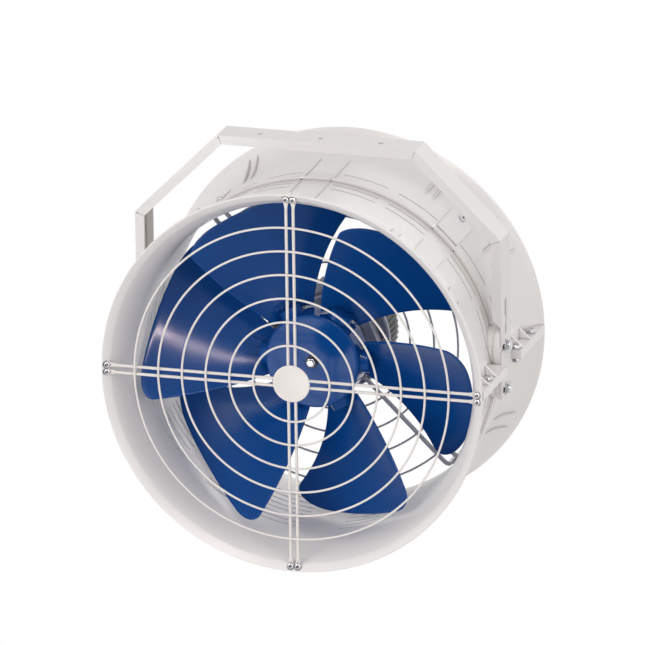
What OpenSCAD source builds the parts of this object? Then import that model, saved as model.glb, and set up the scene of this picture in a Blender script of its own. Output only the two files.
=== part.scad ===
// Drum fan hung in a C-shaped ceiling bracket.
// The origin is the middle ceiling hole, on the top face of the bracket.
// +Z is up, and the air leaves towards -Y.

/* [Bracket] */
// Room between the rims and the ceiling face
bracket_room = 43.5; // [41.5:0.5:70]
// How far the legs reach outside the throat
leg_out = 26; // [25:0.1:27]
// Height and width of each 45 degree corner
corner_cut = 159; // [120:1:165]
// Width of the channel
channel_w = 58; // [54:1:60]
// Depth of the channel flanges
flange_d = 17; // [10:0.5:18]
// Thickness of the folded sheet
sheet = 2.5; // [1.5:0.1:3]
// Spacing of the ceiling holes
hole_pitch = 114; // [80:1:150]
// Radius of the ceiling holes
hole_r = 5.5; // [3:0.1:8]
// How far the legs reach below the fan axis
leg_drop = 62; // [60:0.5:80]
// Height above the fan axis where the flanges end
flange_end = 92; // [85:1:120]

/* [Tilt joint] */
// Height of the tilt pivot above the fan axis
pivot_rise = 37; // [30:0.5:42]
// Distance from the pivot down to the lock bolt
lock_drop = 83; // [78:0.5:86]
// Tilt to each side that the arc slot allows, in degrees
tilt_limit = 14; // [5:1:15]
// Radius of the pivot bolts
pivot_r = 6; // [5:0.1:7]
// Radius of the lock bolts
lock_r = 5; // [4:0.1:6]

/* [Drum] */
// Inner radius of the throat
throat_r = 320; // [318:0.5:321]
// Wall of the shells
shell_wall = 4; // [3:0.1:5]
// Length of the straight throat in each shell
throat_len = 100; // [90:1:110]
// Distance from the joint to the knee of the bell
knee_z = 161; // [150:1:170]
// How much the radius has grown at the knee
knee_gain = 10; // [5:0.5:14]
// Distance from the joint to the crease of the rim
crease_z = 197; // [190:0.5:200]
// How much the radius has grown at the crease
crease_gain = 27; // [20:0.5:29]
// How much further out than the throat the rims reach
rim_out = 39.5; // [36:0.5:42]
// Distance from the joint to the edge of a rim
rim_z = 206.5; // [204:0.5:212]
// Axial width of the rim edge
rim_edge = 8; // [6:0.5:12]
// Height of the joint flanges over the shell
joint_h = 6; // [6:0.1:8]
// Thickness of one joint flange
joint_t = 3; // [2.5:0.1:5]
// Depth of the grooves round the throat
groove_depth = 1; // [0.5:0.1:1.2]
// Width of the grooves
groove_w = 3; // [2:0.5:4]
// Spacing of the inner grooves
groove_pitch = 20.5; // [18:0.5:24]

/* [Ears] */
// How far the ears reach outside the throat
ear_out = 41; // [38:0.5:44]
// Top of the ear shelf above the fan axis
ear_top = 12.5; // [8:0.5:16]
// Thickness of the ear shelf
ear_t = 16.5; // [10:0.5:20]
// Distance from the joint to the inner end of the ear shelf
ear_start = 45; // [43:0.5:50]
// Height of the triangular ribs
rib_h = 20; // [14:0.5:26]
// Thickness of the triangular ribs
rib_t = 5; // [3:0.5:8]
// Spacing of the triangular ribs
rib_pitch = 48; // [40:1:52]

/* [Front guard] */
// Distance of the guard screws inside the edge of the rim
guard_inset = 9.5; // [9:0.1:10.5]
// Height of the screw seats above the joint
guard_seat = 199.3; // [198.5:0.1:200]
// Diameter of the ring wire
ring_wire = 4; // [3:0.1:5]
// Diameter of the spoke wire
spoke_wire = 5.5; // [4:0.1:6.5]
// Distance between the two spokes of a pair
spoke_gap = 13.5; // [13:0.1:15]
// Radius of the inner guard ring
ring_first = 72.4; // [60:0.1:80]
// Distance from the outer guard ring to the circle of guard screws
ring_margin = 53.1; // [40:0.1:60]
// Number of guard rings
ring_count = 6; // [4:1:6]
// Radius of the centre disc
disc_r = 35; // [30:0.5:50]

/* [Fan wheel] */
// Radius of the hub
hub_r = 88.5; // [86:0.5:90]
// Distance from the joint to the front face of the hub
hub_front = 74.5; // [72:0.5:77]
// Thickness of each hub plate
hub_plate = 8; // [6:0.5:9]
// Radius of the round blade roots
root_r = 22; // [20:0.5:22.4]
// Gap between the blade tips and the throat
tip_gap = 6; // [5:0.5:15]
// Thickness of a blade at the root
blade_t_root = 5; // [4:0.1:6]
// Thickness of a blade at the tip
blade_t_tip = 3; // [2:0.1:4]
// Radius of the motor shaft
shaft_r = 14; // [12:0.5:15]
// Radius of the drum behind the hub
adapter_r = 66; // [64:0.5:70]

/* [Motor] */
// Radius over the cooling fins
fin_r = 98; // [96:0.5:99]
// Radius at the foot of the fins
fin_root_r = 95; // [92:0.5:95.5]
// Number of cooling fins
fin_count = 56; // [40:2:60]
// Inner radius of the motor body
motor_bore = 84; // [82:0.5:85]
// Length of the motor body
motor_len = 66; // [60:1:80]
// Radius of the front end shield
shield_r = 102; // [101:0.5:104]
// Thickness of the end shields at the edge
shield_t = 9; // [8:0.5:11]

/* [Motor carrier] */
// Diameter of the support rods
rod_d = 8.5; // [7:0.1:9]
// Half the distance between the two rods of a pair
rod_off = 12; // [12:0.1:14]
// Distance of the rods behind the joint
rod_back = 72; // [70:0.5:74]
// Distance of the rear legs of the rods inside the throat
rod_inset = 8; // [8:0.1:9]
// Corner radius of the eight-sided motor pan
pan_r = 91; // [88:0.5:94]
// Distance of the motor pan behind the joint
pan_back = 46; // [45:0.5:48]

/* [Hidden] */

$fn = 96;

blade_count = 6;

// How far a cut runs past the face that it opens
over = 1;
// Gap between parts that turn or slide on each other
play = 0.05;
// Gap between the legs and the tilting drum
side_gap = 0.5;
// Gap between a clamped washer and the sheet that it slides on
slide_gap = 0.3;
// Depth that welded wires share
weld = 0.4;

// Sizes that follow the throat
rim_r = throat_r + rim_out;
leg_x = throat_r + leg_out;
skin_r = throat_r + shell_wall;
joint_r = skin_r + joint_h;
ear_x = throat_r + ear_out;
guard_r = rim_r - guard_inset;
ring_pitch = (guard_r - ring_margin - ring_first) / (ring_count - 1);
tip_r = throat_r - tip_gap;
rod_reach = throat_r - rod_inset;

// The fan axis and the pivot, from the ceiling face
axis_z = -rim_r - bracket_room;
pivot_z = axis_z + pivot_rise;

paint_white = "#e2dedc";
wire_white = "#e6e2df";
wheel_blue = "#1c3f8f";
chrome = "#c8c8cb";
steel_grey = "#8e8b90";
motor_grey = "#4a4a4d";
cast_grey = "#9a9aa3";
rubber_black = "#1b1b1d";

function reversed(list) = [for (i = [len(list) - 1 : -1 : 0]) list[i]];

// Points of an arc about a centre
function arc(centre, r, from, to, steps) =
    [for (i = [0 : steps]) let (a = from + (to - from) * i / steps) centre + r * [cos(a), sin(a)]];

// Fan frame: z points forward along the axis, x to the right and y up, from the joint of the shells
module fan_frame() {
    translate([0, 0, axis_z]) rotate([90, 0, 0]) children();
}

// Side frame: x points to the rear, y up and z outward, from the pivot; side is 1 or -1
module side_frame(side) {
    mirror([side < 0 ? 1 : 0, 0, 0]) translate([0, 0, pivot_z]) rotate([90, 0, 90]) children();
}

module both_sides() {
    for (side = [-1, 1]) side_frame(side) children();
}

module ring_of(count, start = 0) {
    for (i = [0 : count - 1]) rotate([0, 0, start + i * 360 / count]) children();
}

module tube(r_out, r_in, length) {
    difference() {
        cylinder(h = length, r = r_out);
        translate([0, 0, -over]) cylinder(h = length + 2 * over, r = r_in);
    }
}

// Prism with six sides; across is the width over two flats
module hex(across, height) {
    cylinder(h = height, r = across / sqrt(3), $fn = 6);
}

// Hex bolt: the head stands on z = 0 and the shank points down
module hex_bolt(r, length, across, head_h) {
    hex(across, head_h);
    translate([0, 0, -length]) cylinder(h = length, r = r);
}

// Button head screw: the head stands on z = 0 and the shank points down
module button_screw(r, length, head_r, head_h) {
    edge_share = 0.3;
    socket_share = 0.42;
    difference() {
        rotate_extrude() polygon(concat([[0, 0], [head_r, 0]],
            [for (i = [0 : 8]) let (a = i * 90 / 8)
                [head_r * cos(a), head_h * (edge_share + (1 - edge_share) * sin(a))]]));
        translate([0, 0, head_h / 2]) cylinder(h = head_h, r = head_r * socket_share, $fn = 6);
    }
    translate([0, 0, -length]) cylinder(h = length, r = r);
}

// Bracket

// Half of the outer line of the bracket, moved inward by d, with the leg cut at height low
function bracket_side(d, low) = [
    [leg_x - d, low],
    [leg_x - d, -corner_cut - d * tan(22.5)],
    [leg_x - corner_cut - d * tan(22.5), -d]];

function mirrored(line) = [for (p = reversed(line)) [-p[0], p[1]]];

module bracket_band(depth, low_out, low_in) {
    outer = bracket_side(0, low_out);
    inner = bracket_side(depth, low_in);
    polygon(concat(outer, mirrored(outer), reversed(mirrored(inner)), reversed(inner)));
}

leg_low = axis_z - leg_drop;
leg_corner_r = 10;
// The tall slot above the pivot: its lower and upper ends above the fan axis, and its half width
slot_low = 58;
slot_high = 127;
slot_half = 6.5;

module leg_slots() {
    // Hook slot, open at the front, that takes the pivot bolt
    cylinder(h = sheet + 2 * over, r = pivot_r + play, center = true);
    translate([-channel_w, -pivot_r - play, -sheet / 2 - over])
        cube([channel_w, 2 * (pivot_r + play), sheet + 2 * over]);
    // Tall slot
    for (h = [slot_low + slot_half, slot_high - slot_half])
        translate([0, h - pivot_rise, 0]) cylinder(h = sheet + 2 * over, r = slot_half, center = true);
    translate([-slot_half, slot_low + slot_half - pivot_rise, -sheet / 2 - over])
        cube([2 * slot_half, slot_high - slot_low - 2 * slot_half, sheet + 2 * over]);
    // Arc slot for the lock bolt
    arc_half = lock_r + slide_gap;
    rotate([0, 0, -90 - tilt_limit]) rotate_extrude(angle = 2 * tilt_limit)
        translate([lock_drop - arc_half, -sheet / 2 - over]) square([2 * arc_half, sheet + 2 * over]);
    for (a = [-tilt_limit, tilt_limit])
        rotate([0, 0, -90 + a]) translate([lock_drop, 0, 0])
            cylinder(h = sheet + 2 * over, r = arc_half, center = true);
}

relief_r = 1.5;
seam_w = 0.6;

// At each bend both flanges have a round relief and a seam along the mitre
module bend_reliefs() {
    corners = bracket_side(sheet + relief_r, leg_low);
    for (side = [-1, 1], i = [1, 2]) mirror([side < 0 ? 1 : 0, 0, 0])
        translate([corners[i][0], channel_w / 2 + over, corners[i][1]]) rotate([90, 0, 0]) {
            cylinder(h = channel_w + 2 * over, r = relief_r);
            rotate([0, 0, i == 1 ? -157.5 : -112.5]) translate([0, -seam_w / 2, 0])
                cube([2 * flange_d, seam_w, sheet + over]);
            rotate([0, 0, i == 1 ? -157.5 : -112.5])
                translate([0, -seam_w / 2, channel_w + over - sheet])
                cube([2 * flange_d, seam_w, sheet + over]);
        }
}

module bracket_channel() {
    color(paint_white) difference() {
        union() {
            rotate([90, 0, 0]) linear_extrude(channel_w, center = true)
                bracket_band(sheet, leg_low + leg_corner_r, leg_low + leg_corner_r);
            for (side = [-1, 1])
                translate([0, side * (channel_w - sheet) / 2, 0]) rotate([90, 0, 0])
                    linear_extrude(sheet, center = true)
                        bracket_band(flange_d, axis_z + flange_end - flange_d, axis_z + flange_end);
            // Round corners at the foot of each leg
            for (side = [-1, 1]) mirror([side < 0 ? 1 : 0, 0, 0])
                translate([leg_x - sheet, 0, leg_low + leg_corner_r]) rotate([90, 0, 90])
                    linear_extrude(sheet) {
                        translate([-channel_w / 2 + leg_corner_r, -leg_corner_r])
                            square([channel_w - 2 * leg_corner_r, leg_corner_r]);
                        for (x = [-1, 1]) translate([x * (channel_w / 2 - leg_corner_r), 0])
                            circle(r = leg_corner_r);
                    }
        }
        for (i = [-1 : 1])
            translate([i * hole_pitch, 0, -sheet - over]) cylinder(h = sheet + 2 * over, r = hole_r);
        bend_reliefs();
        both_sides() translate([0, 0, leg_x - sheet / 2]) leg_slots();
    }
}

// Tilt joint

washer_t = 2.5;
pivot_head = 18;
pivot_head_h = 8;
lock_head = 17;
lock_head_h = 7;
// Outward faces, from the middle of the drum
plate_out = 13;
plate_seat = throat_r + plate_out;
plate_face = leg_x - sheet - side_gap;
// The bolts stop this far above the seat of the plate
bolt_stop = 1;

module pivot_bolts() {
    color(chrome) both_sides() translate([0, 0, leg_x + washer_t])
        hex_bolt(pivot_r, leg_x + washer_t - plate_seat - bolt_stop, pivot_head, pivot_head_h);
}

module pivot_washers() {
    color(chrome) both_sides() translate([0, 0, leg_x])
        tube(2 * pivot_r, pivot_r + play, washer_t);
}

module lock_bolts() {
    color(chrome) both_sides() translate([0, -lock_drop, leg_x + slide_gap + washer_t])
        hex_bolt(lock_r, leg_x + slide_gap + washer_t - plate_seat - bolt_stop, lock_head, lock_head_h);
}

module lock_washers() {
    color(chrome) both_sides() translate([0, -lock_drop, leg_x + slide_gap])
        tube(2.4 * lock_r, lock_r + play, washer_t);
}

// The plate that carries both bolts: a round pad at the pivot and a smaller one at the lock
plate_r = 40;
plate_lock_r = 22;
plate_lip = 4;
bush_r = 9;
plate_screw_r = 2.5;
plate_screw_head = 5;
plate_screw_place = 30;
plate_screw_len = 18;

module plate_outline(grow) {
    circle(r = plate_r + grow);
    translate([0, -lock_drop]) circle(r = plate_lock_r + grow);
    translate([-plate_lock_r - grow, -lock_drop]) square([2 * (plate_lock_r + grow), lock_drop]);
}

module plate_screw_places() {
    for (a = [45 : 90 : 315]) rotate([0, 0, a]) translate([plate_screw_place, 0, 0]) children();
}

module pivot_plate(side) {
    color(paint_white) side_frame(side) difference() {
        translate([0, 0, plate_seat]) linear_extrude(plate_face - plate_seat) plate_outline(0);
        translate([0, 0, plate_seat - over])
            cylinder(h = 2 * over + plate_face - plate_seat, r = bush_r + play);
        translate([0, -lock_drop, plate_seat - over])
            cylinder(h = 2 * over + plate_face - plate_seat, r = lock_r + play);
        plate_screw_places() {
            translate([0, 0, plate_seat - over])
                cylinder(h = 2 * over + plate_face - plate_seat, r = plate_screw_r + play);
            translate([0, 0, plate_face - plate_screw_head + plate_screw_r])
                cylinder(h = plate_screw_head - plate_screw_r, r1 = plate_screw_r, r2 = plate_screw_head);
        }
    }
}

module pivot_plate_left() { pivot_plate(-1); }
module pivot_plate_right() { pivot_plate(1); }

module pivot_plate_screws() {
    color(chrome) both_sides() plate_screw_places() {
        translate([0, 0, plate_face - plate_screw_head + plate_screw_r])
            cylinder(h = plate_screw_head - plate_screw_r, r1 = plate_screw_r, r2 = plate_screw_head);
        translate([0, 0, plate_face - plate_screw_len])
            cylinder(h = plate_screw_len - plate_screw_head + plate_screw_r, r = plate_screw_r);
    }
}

module pivot_bushes() {
    color(cast_grey) both_sides() translate([0, 0, plate_seat])
        tube(bush_r, pivot_r + play, plate_face - plate_seat);
}

// Shells

// How much of the growth past the knee is curved
bell_share = 0.35;

function inner_r(z) =
    z <= throat_len ? throat_r
    : z <= knee_z ? throat_r + knee_gain * pow((z - throat_len) / (knee_z - throat_len), 2)
    : let (u = (z - knee_z) / (crease_z - knee_z))
        throat_r + knee_gain + (crease_gain - knee_gain) * u * (1 - bell_share + bell_share * u);

// Heights of the profile rings between the throat and the rim
function profile_steps() = concat(
    [for (i = [0 : 7]) throat_len + (knee_z - throat_len) * i / 7],
    [for (i = [1 : 7]) knee_z + (crease_z - knee_z) * i / 7]);

rim_land = 1.5;

module outer_profile() {
    polygon(concat(
        [[0, 0], [joint_r, 0], [joint_r, joint_t], [skin_r, joint_t]],
        [for (z = profile_steps())
            [inner_r(z) + shell_wall, z - shell_wall * (z - throat_len) / (crease_z - throat_len)]],
        [[rim_r, rim_z - rim_edge], [rim_r, rim_z - rim_land], [rim_r - rim_land, rim_z], [0, rim_z]]));
}

module inner_profile() {
    polygon(concat(
        [[0, -over], [throat_r, -over]],
        [for (z = profile_steps()) [inner_r(z), z]],
        [[rim_r - rim_land, rim_z], [rim_r - rim_land, rim_z + over], [0, rim_z + over]]));
}

// Places of the grooves from the joint: outside on the front and rear shell, and inside
front_grooves = [21, 43];
rear_grooves = [42];
front_inner_groove = 13.4;
rear_inner_groove = 7.1;
inner_groove_count = 4;
// Half gaps in degrees between the groups of grooves: at the sides, beside the diagonals and on them
side_gap_a = 6.8;
between_gap_a = 1.8;
diagonal_gap_a = 5.3;
// How far the plain stretches at the top and bottom are turned from the middle, in degrees
block_turn = 1.5;

// Step k is a sixteenth of a turn; turn moves the steps at the top and bottom
function step_angle(k, turn) = k * 22.5 + (k % 8 == 4 ? turn : 0);
function step_gap(k) = k % 2 == 1 ? between_gap_a : k % 4 == 2 ? diagonal_gap_a : side_gap_a;

// Ring sectors over the plain throat, from radius r with depth and width, at the places zs
module groove_sectors(r, zs, turn) {
    for (k = [0 : 15])
        let (from = step_angle(k, turn) + step_gap(k), to = step_angle(k + 1, turn) - step_gap(k + 1))
        rotate([0, 0, from]) rotate_extrude(angle = to - from, $fn = 180)
            for (z = zs) translate([r, z - groove_w / 2]) square([groove_depth + over, groove_w]);
}

// Pads on the four diagonals, with a flat top
pad_half = 26;
front_pad = [56, 135];
rear_pad = [23, 139];
pad_rise = 1.5;
rod_bolt_z = 118;
rod_bolt_r = 4;
rod_head_r = 7;
// Each rod bolt's head sits in a shallow spot face
rod_spot_depth = 0.3;
rod_spot_play = 0.5;
rod_seat = throat_r + shell_wall + pad_rise - rod_spot_depth;

module diagonal_pads(ends) {
    ring_of(4, 45) translate([throat_r, -pad_half, ends[0]])
        cube([shell_wall + pad_rise, 2 * pad_half, ends[1] - ends[0]]);
}

// Thin gussets between the throat and the bell, in each quarter of the drum
gusset_angles = [27, 32.5, 56.2, 59.2];
gusset_t = 2.5;
gusset_start = 92;

// Each starts and ends in the middle of the wall
module gussets() {
    foot_r = throat_r + shell_wall / 2;
    end_z = crease_z - shell_wall;
    for (x = [0, 1], y = [0, 1], a = gusset_angles)
        mirror([x, 0, 0]) mirror([0, y, 0]) rotate([0, 0, a]) translate([0, gusset_t / 2, 0])
            rotate([90, 0, 0]) linear_extrude(gusset_t)
                polygon([[foot_r, gusset_start], [foot_r + crease_gain, end_z], [foot_r, end_z]]);
}

// Two ribs along the drum at the top and two at the bottom
long_rib_a = 4.9;
long_rib_t = 1.6;
long_rib_h = 1.6;
front_long_rib = 105;
rear_long_rib = 139;
// The ribs start this far from the joint, past the screws
long_rib_start = 9;

module long_ribs(end, turn) {
    ring_of(2, 90 + turn) for (a = [-long_rib_a, long_rib_a])
        rotate([0, 0, a]) translate([throat_r + shell_wall / 2, -long_rib_t / 2, long_rib_start])
            cube([shell_wall / 2 + long_rib_h, long_rib_t, end - long_rib_start]);
}

// Moulded seat of the pivot plate, half in each shell
module plate_pad() {
    for (side = [-1, 1]) translate([0, pivot_rise, 0]) rotate([0, side * 90, 0])
        translate([0, 0, throat_r - 2 * shell_wall - pad_half])
            linear_extrude(plate_seat - throat_r + 2 * shell_wall + pad_half) plate_outline(-plate_lip);
}

// Ear: a shelf along the drum, a wall against the shell and triangular ribs on the shelf
ear_wall_out = 18;
ear_wall_x = throat_r + ear_wall_out;
ear_wall_h = 24;
ear_merge_h = 44;
ear_end = rim_z - rim_edge;
ear_bolt_r = 5;
leg_rib_place = 20;
leg_bolt_place = 9;

module ear_section(points, from, to) {
    translate([0, 0, from]) linear_extrude(to - from) polygon(points);
}

module ear(wall_from, wall_to, ribs, bolts) {
    ear_low = ear_top - ear_t;
    difference() {
        union() {
            ear_section([[throat_r - pad_half, ear_low], [ear_x, ear_low], [ear_x, ear_top],
                [throat_r - pad_half, ear_top]], ear_start, ear_end);
            ear_section([[throat_r - pad_half, ear_low], [ear_wall_x, ear_low],
                [ear_wall_x, ear_top + ear_wall_h], [throat_r - pad_half, ear_top + ear_merge_h]],
                wall_from, wall_to);
            for (z = ribs)
                ear_section([[ear_wall_x - over, ear_top - over], [ear_x - over, ear_top - over],
                    [ear_x - over, ear_top], [ear_wall_x, ear_top + rib_h],
                    [ear_wall_x - over, ear_top + rib_h]],
                    z - rib_t / 2, z + rib_t / 2);
        }
        for (z = bolts) translate([ear_bolt_x(), ear_low - over, z]) rotate([-90, 0, 0])
            cylinder(h = ear_t + 2 * over, r = ear_bolt_r + play);
    }
}

function ear_bolt_x() = (ear_wall_x + ear_x) / 2;

// Ear with its ribs by the rim, and ear with its ribs by the leg
rim_ribs = [knee_z - rib_t - rib_pitch, knee_z - rib_t];
leg_ribs = [ear_start + leg_rib_place, ear_start + leg_rib_place + rib_pitch];
rim_bolts = [knee_z - rib_t - rib_pitch / 2];
leg_bolts = [ear_start + leg_bolt_place, ear_start + leg_rib_place + 1.7 * rib_pitch];

screw_boss_r = 7.5;
guard_screw_r = 2.5;
guard_screw_len = 16;
guard_boss_len = 20;

// The eight places of the guard screws
module guard_screw_places() {
    ring_of(4) for (side = [-1, 1])
        translate([guard_r, side * spoke_gap / 2, guard_seat]) children();
}

joint_screw_r = 1.5;
joint_screw_place = (joint_r + skin_r) / 2;
// The screws stand in pairs, this far to each side in degrees
joint_screw_a = 4.9;
joint_head_r = 2.6;
joint_head_h = 1.8;
joint_nut = 5.5;
joint_nut_h = 2.4;
joint_screw_tip = 1;

module joint_screw_places(turn = block_turn) {
    for (k = [2, 4, 6, 10, 12, 14], a = [-joint_screw_a, joint_screw_a])
        rotate([0, 0, step_angle(k, turn) + a]) translate([joint_screw_place, 0, 0]) children();
}

module shell_half(grooves, inner_groove, pad_ends, rib_end, turn) {
    big = 2 * rim_r;
    difference() {
        union() {
            difference() {
                rotate_extrude($fn = 180) outer_profile();
                groove_sectors(skin_r - groove_depth, grooves, turn);
            }
            diagonal_pads(pad_ends);
            gussets();
            long_ribs(rib_end, turn);
            plate_pad();
            ear(rim_ribs[0] - 2 * rib_t, rim_ribs[1] + rib_t, rim_ribs, rim_bolts);
            mirror([1, 0, 0]) ear(ear_start, leg_ribs[1] + 2 * rib_t, leg_ribs, leg_bolts);
        }
        rotate_extrude($fn = 180) inner_profile();
        groove_sectors(throat_r - over,
            [for (i = [0 : inner_groove_count - 1]) inner_groove + i * groove_pitch], turn);
        translate([-big / 2, -big / 2, -big / 2]) cube([big, big, big / 2]);
        // Flat seats of the pivot plates
        for (side = [-1, 1]) translate([0, pivot_rise, 0]) rotate([0, side * 90, 0])
            translate([0, 0, plate_seat]) linear_extrude(pad_half) plate_outline(over);
        for (side = [-1, 1]) translate([0, pivot_rise, 0]) rotate([0, side * 90, 0])
            translate([0, 0, plate_face - plate_screw_len - over])
                plate_screw_places() cylinder(h = plate_screw_len, r = plate_screw_r + play);
        joint_screw_places(turn) translate([0, 0, -over])
            cylinder(h = joint_t + 2 * over, r = joint_screw_r + play);
    }
}

module front_shell() {
    color(paint_white) fan_frame() difference() {
        union() {
            shell_half(front_grooves, front_inner_groove, front_pad, front_long_rib, block_turn);
            guard_screw_places() translate([0, 0, -guard_boss_len])
                cylinder(h = guard_boss_len, r = screw_boss_r);
        }
        guard_screw_places() {
            cylinder(h = guard_boss_len, r = screw_boss_r);
            translate([0, 0, -guard_boss_len - over])
                cylinder(h = guard_boss_len + 2 * over, r = guard_screw_r + play);
        }
    }
}

module rear_shell() {
    color(paint_white) fan_frame() rotate([0, 180, 0]) difference() {
        // This half is turned about, so its plain stretches lean the other way
        shell_half(rear_grooves, rear_inner_groove, rear_pad, rear_long_rib, -block_turn);
        ring_of(4, 45) translate([0, 0, rod_bolt_z]) rotate([0, 90, 0]) {
            translate([0, 0, throat_r - pad_half])
                cylinder(h = 2 * pad_half, r = rod_bolt_r + play);
            translate([0, 0, rod_seat]) cylinder(h = pad_half, r = rod_head_r + rod_spot_play);
        }
    }
}

module joint_screws() {
    color(chrome) fan_frame() joint_screw_places() translate([0, 0, joint_t])
        button_screw(joint_screw_r, 2 * joint_t + joint_nut_h + joint_screw_tip,
            joint_head_r, joint_head_h);
}

module joint_nuts() {
    color(chrome) fan_frame() joint_screw_places() translate([0, 0, -joint_t - joint_nut_h])
        rotate([0, 0, 30]) difference() {
            hex(joint_nut, joint_nut_h);
            translate([0, 0, -over]) cylinder(h = joint_nut_h + 2 * over, r = joint_screw_r + play);
        }
}

// One ear bolt with its head on the shelf and one nut under it
module at_ear_bolts() {
    fan_frame() for (turn = [0, 180]) rotate([0, turn, 0]) {
        for (z = rim_bolts) translate([ear_bolt_x(), 0, z]) children();
        for (z = leg_bolts) translate([-ear_bolt_x(), 0, z]) children();
    }
}

ear_head = 16;
ear_head_h = 7;
ear_nut_h = 8;
ear_bolt_tip = 2;

module ear_bolts() {
    color(chrome) at_ear_bolts() translate([0, ear_top, 0]) rotate([-90, 0, 0])
        hex_bolt(ear_bolt_r, ear_t + ear_nut_h + ear_bolt_tip, ear_head, ear_head_h);
}

module ear_nuts() {
    color(chrome) at_ear_bolts() translate([0, ear_top - ear_t - ear_nut_h, 0]) rotate([-90, 0, 0])
        difference() {
            hex(ear_head, ear_nut_h);
            translate([0, 0, -over]) cylinder(h = ear_nut_h + 2 * over, r = ear_bolt_r + play);
        }
}

// Front guard

eyelet_r = 6.4;
eyelet_t = 2.2;
eyelet_taper = 18;
// How far the flattened end of a spoke laps over the round wire
eyelet_lap = 1;
guard_head_r = 6.2;
guard_head_h = 5;
spoke_z = guard_seat + eyelet_t / 2;
ring_z = spoke_z + spoke_wire / 2 + ring_wire / 2 - weld;
spoke_start = 12;

module spoke() {
    difference() {
        union() {
            translate([spoke_start, 0, spoke_z]) rotate([0, 90, 0])
                cylinder(h = guard_r - eyelet_taper - spoke_start, r = spoke_wire / 2);
            translate([0, 0, guard_seat]) linear_extrude(eyelet_t) {
                translate([guard_r, 0]) circle(r = eyelet_r);
                polygon([[guard_r - eyelet_taper - eyelet_lap, -spoke_wire / 2], [guard_r, -eyelet_r],
                    [guard_r, eyelet_r], [guard_r - eyelet_taper - eyelet_lap, spoke_wire / 2]]);
            }
        }
        translate([guard_r, 0, guard_seat - over])
            cylinder(h = eyelet_t + 2 * over, r = guard_screw_r + play);
    }
}

module front_guard() {
    color(wire_white) fan_frame() {
        for (i = [0 : ring_count - 1]) translate([0, 0, ring_z])
            rotate_extrude($fn = 120) translate([ring_first + i * ring_pitch, 0])
                circle(r = ring_wire / 2, $fn = 24);
        ring_of(4) for (side = [-1, 1]) translate([0, side * spoke_gap / 2, 0]) spoke();
    }
}

disc_t = 2;

module guard_centre_disc() {
    color(wire_white) fan_frame() translate([0, 0, spoke_z + spoke_wire / 2])
        cylinder(h = disc_t, r = disc_r);
}

module front_guard_screws() {
    color(chrome) fan_frame() guard_screw_places() translate([0, 0, eyelet_t])
        button_screw(guard_screw_r, guard_screw_len, guard_head_r, guard_head_h);
}

// Motor carrier: rods, rings and the pan that holds the motor

rod_bend = 12;
rod_end = 130;
rod_inner = 78;
tab_t = 2.5;
tab_half = 18;
tab_len = 28;
rod_washer_r = 9;
rod_nut = 13;
rod_nut_h = 6.5;
rod_bolt_tip = 1.5;
rod_head_h = 5;
tab_face = rod_reach + rod_d / 2 + play;

module rod() {
    translate([rod_inner, 0, -rod_back]) rotate([0, 90, 0])
        cylinder(h = rod_reach - rod_bend - rod_inner, r = rod_d / 2);
    translate([rod_reach - rod_bend, 0, -rod_back - rod_bend]) rotate([90, 0, 0])
        rotate_extrude(angle = 90) translate([rod_bend, 0]) circle(r = rod_d / 2);
    translate([rod_reach, 0, -rod_end]) cylinder(h = rod_end - rod_back - rod_bend, r = rod_d / 2);
}

module support_rods() {
    color(steel_grey) fan_frame() ring_of(4, 45)
        for (side = [-1, 1]) translate([0, side * rod_off, 0]) rod();
}

rear_ring_wire = 4;
rear_ring_first = 141;
rear_ring_pitch = 45.5;
rear_ring_inset = 28.5;
rear_rings = [for (i = [0 : 3])
    i == 3 ? rod_reach - rear_ring_inset : rear_ring_first + i * rear_ring_pitch];

module rear_guard_rings() {
    color(steel_grey) fan_frame() for (r = rear_rings)
        translate([0, 0, -rod_back - rod_d / 2 - rear_ring_wire / 2 - play])
            rotate_extrude($fn = 120) translate([r, 0]) circle(r = rear_ring_wire / 2, $fn = 24);
}

module rod_tabs() {
    color(steel_grey) fan_frame() ring_of(4, 45) difference() {
        translate([tab_face, -tab_half, -rod_bolt_z - tab_len / 2]) cube([tab_t, 2 * tab_half, tab_len]);
        translate([tab_face - over, 0, -rod_bolt_z]) rotate([0, 90, 0])
            cylinder(h = tab_t + 2 * over, r = rod_bolt_r + play);
    }
}

module rod_washers() {
    color(rubber_black) fan_frame() ring_of(4, 45)
        translate([tab_face + tab_t, 0, -rod_bolt_z]) rotate([0, 90, 0])
            tube(rod_washer_r, rod_bolt_r + play, throat_r - tab_face - tab_t);
}

module rod_bolts() {
    color(chrome) fan_frame() ring_of(4, 45)
        translate([rod_seat, 0, -rod_bolt_z]) rotate([0, 90, 0])
            button_screw(rod_bolt_r, rod_seat - tab_face + rod_nut_h + rod_bolt_tip,
                rod_head_r, rod_head_h);
}

module rod_nuts() {
    color(chrome) fan_frame() ring_of(4, 45)
        translate([tab_face - rod_nut_h, 0, -rod_bolt_z]) rotate([0, 90, 0]) difference() {
            hex(rod_nut, rod_nut_h);
            translate([0, 0, -over]) cylinder(h = rod_nut_h + 2 * over, r = rod_bolt_r + play);
        }
}

pan_t = 4;
nose_r = 56;
pan_hole_r = 20;
pan_screw_place = 46;
pan_screw_r = 3;
pan_screw_len = 16;
pan_head_r = 5.5;
pan_head_h = 3.5;
pan_skirt_end = rod_back - rod_d / 2 - play;

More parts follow.
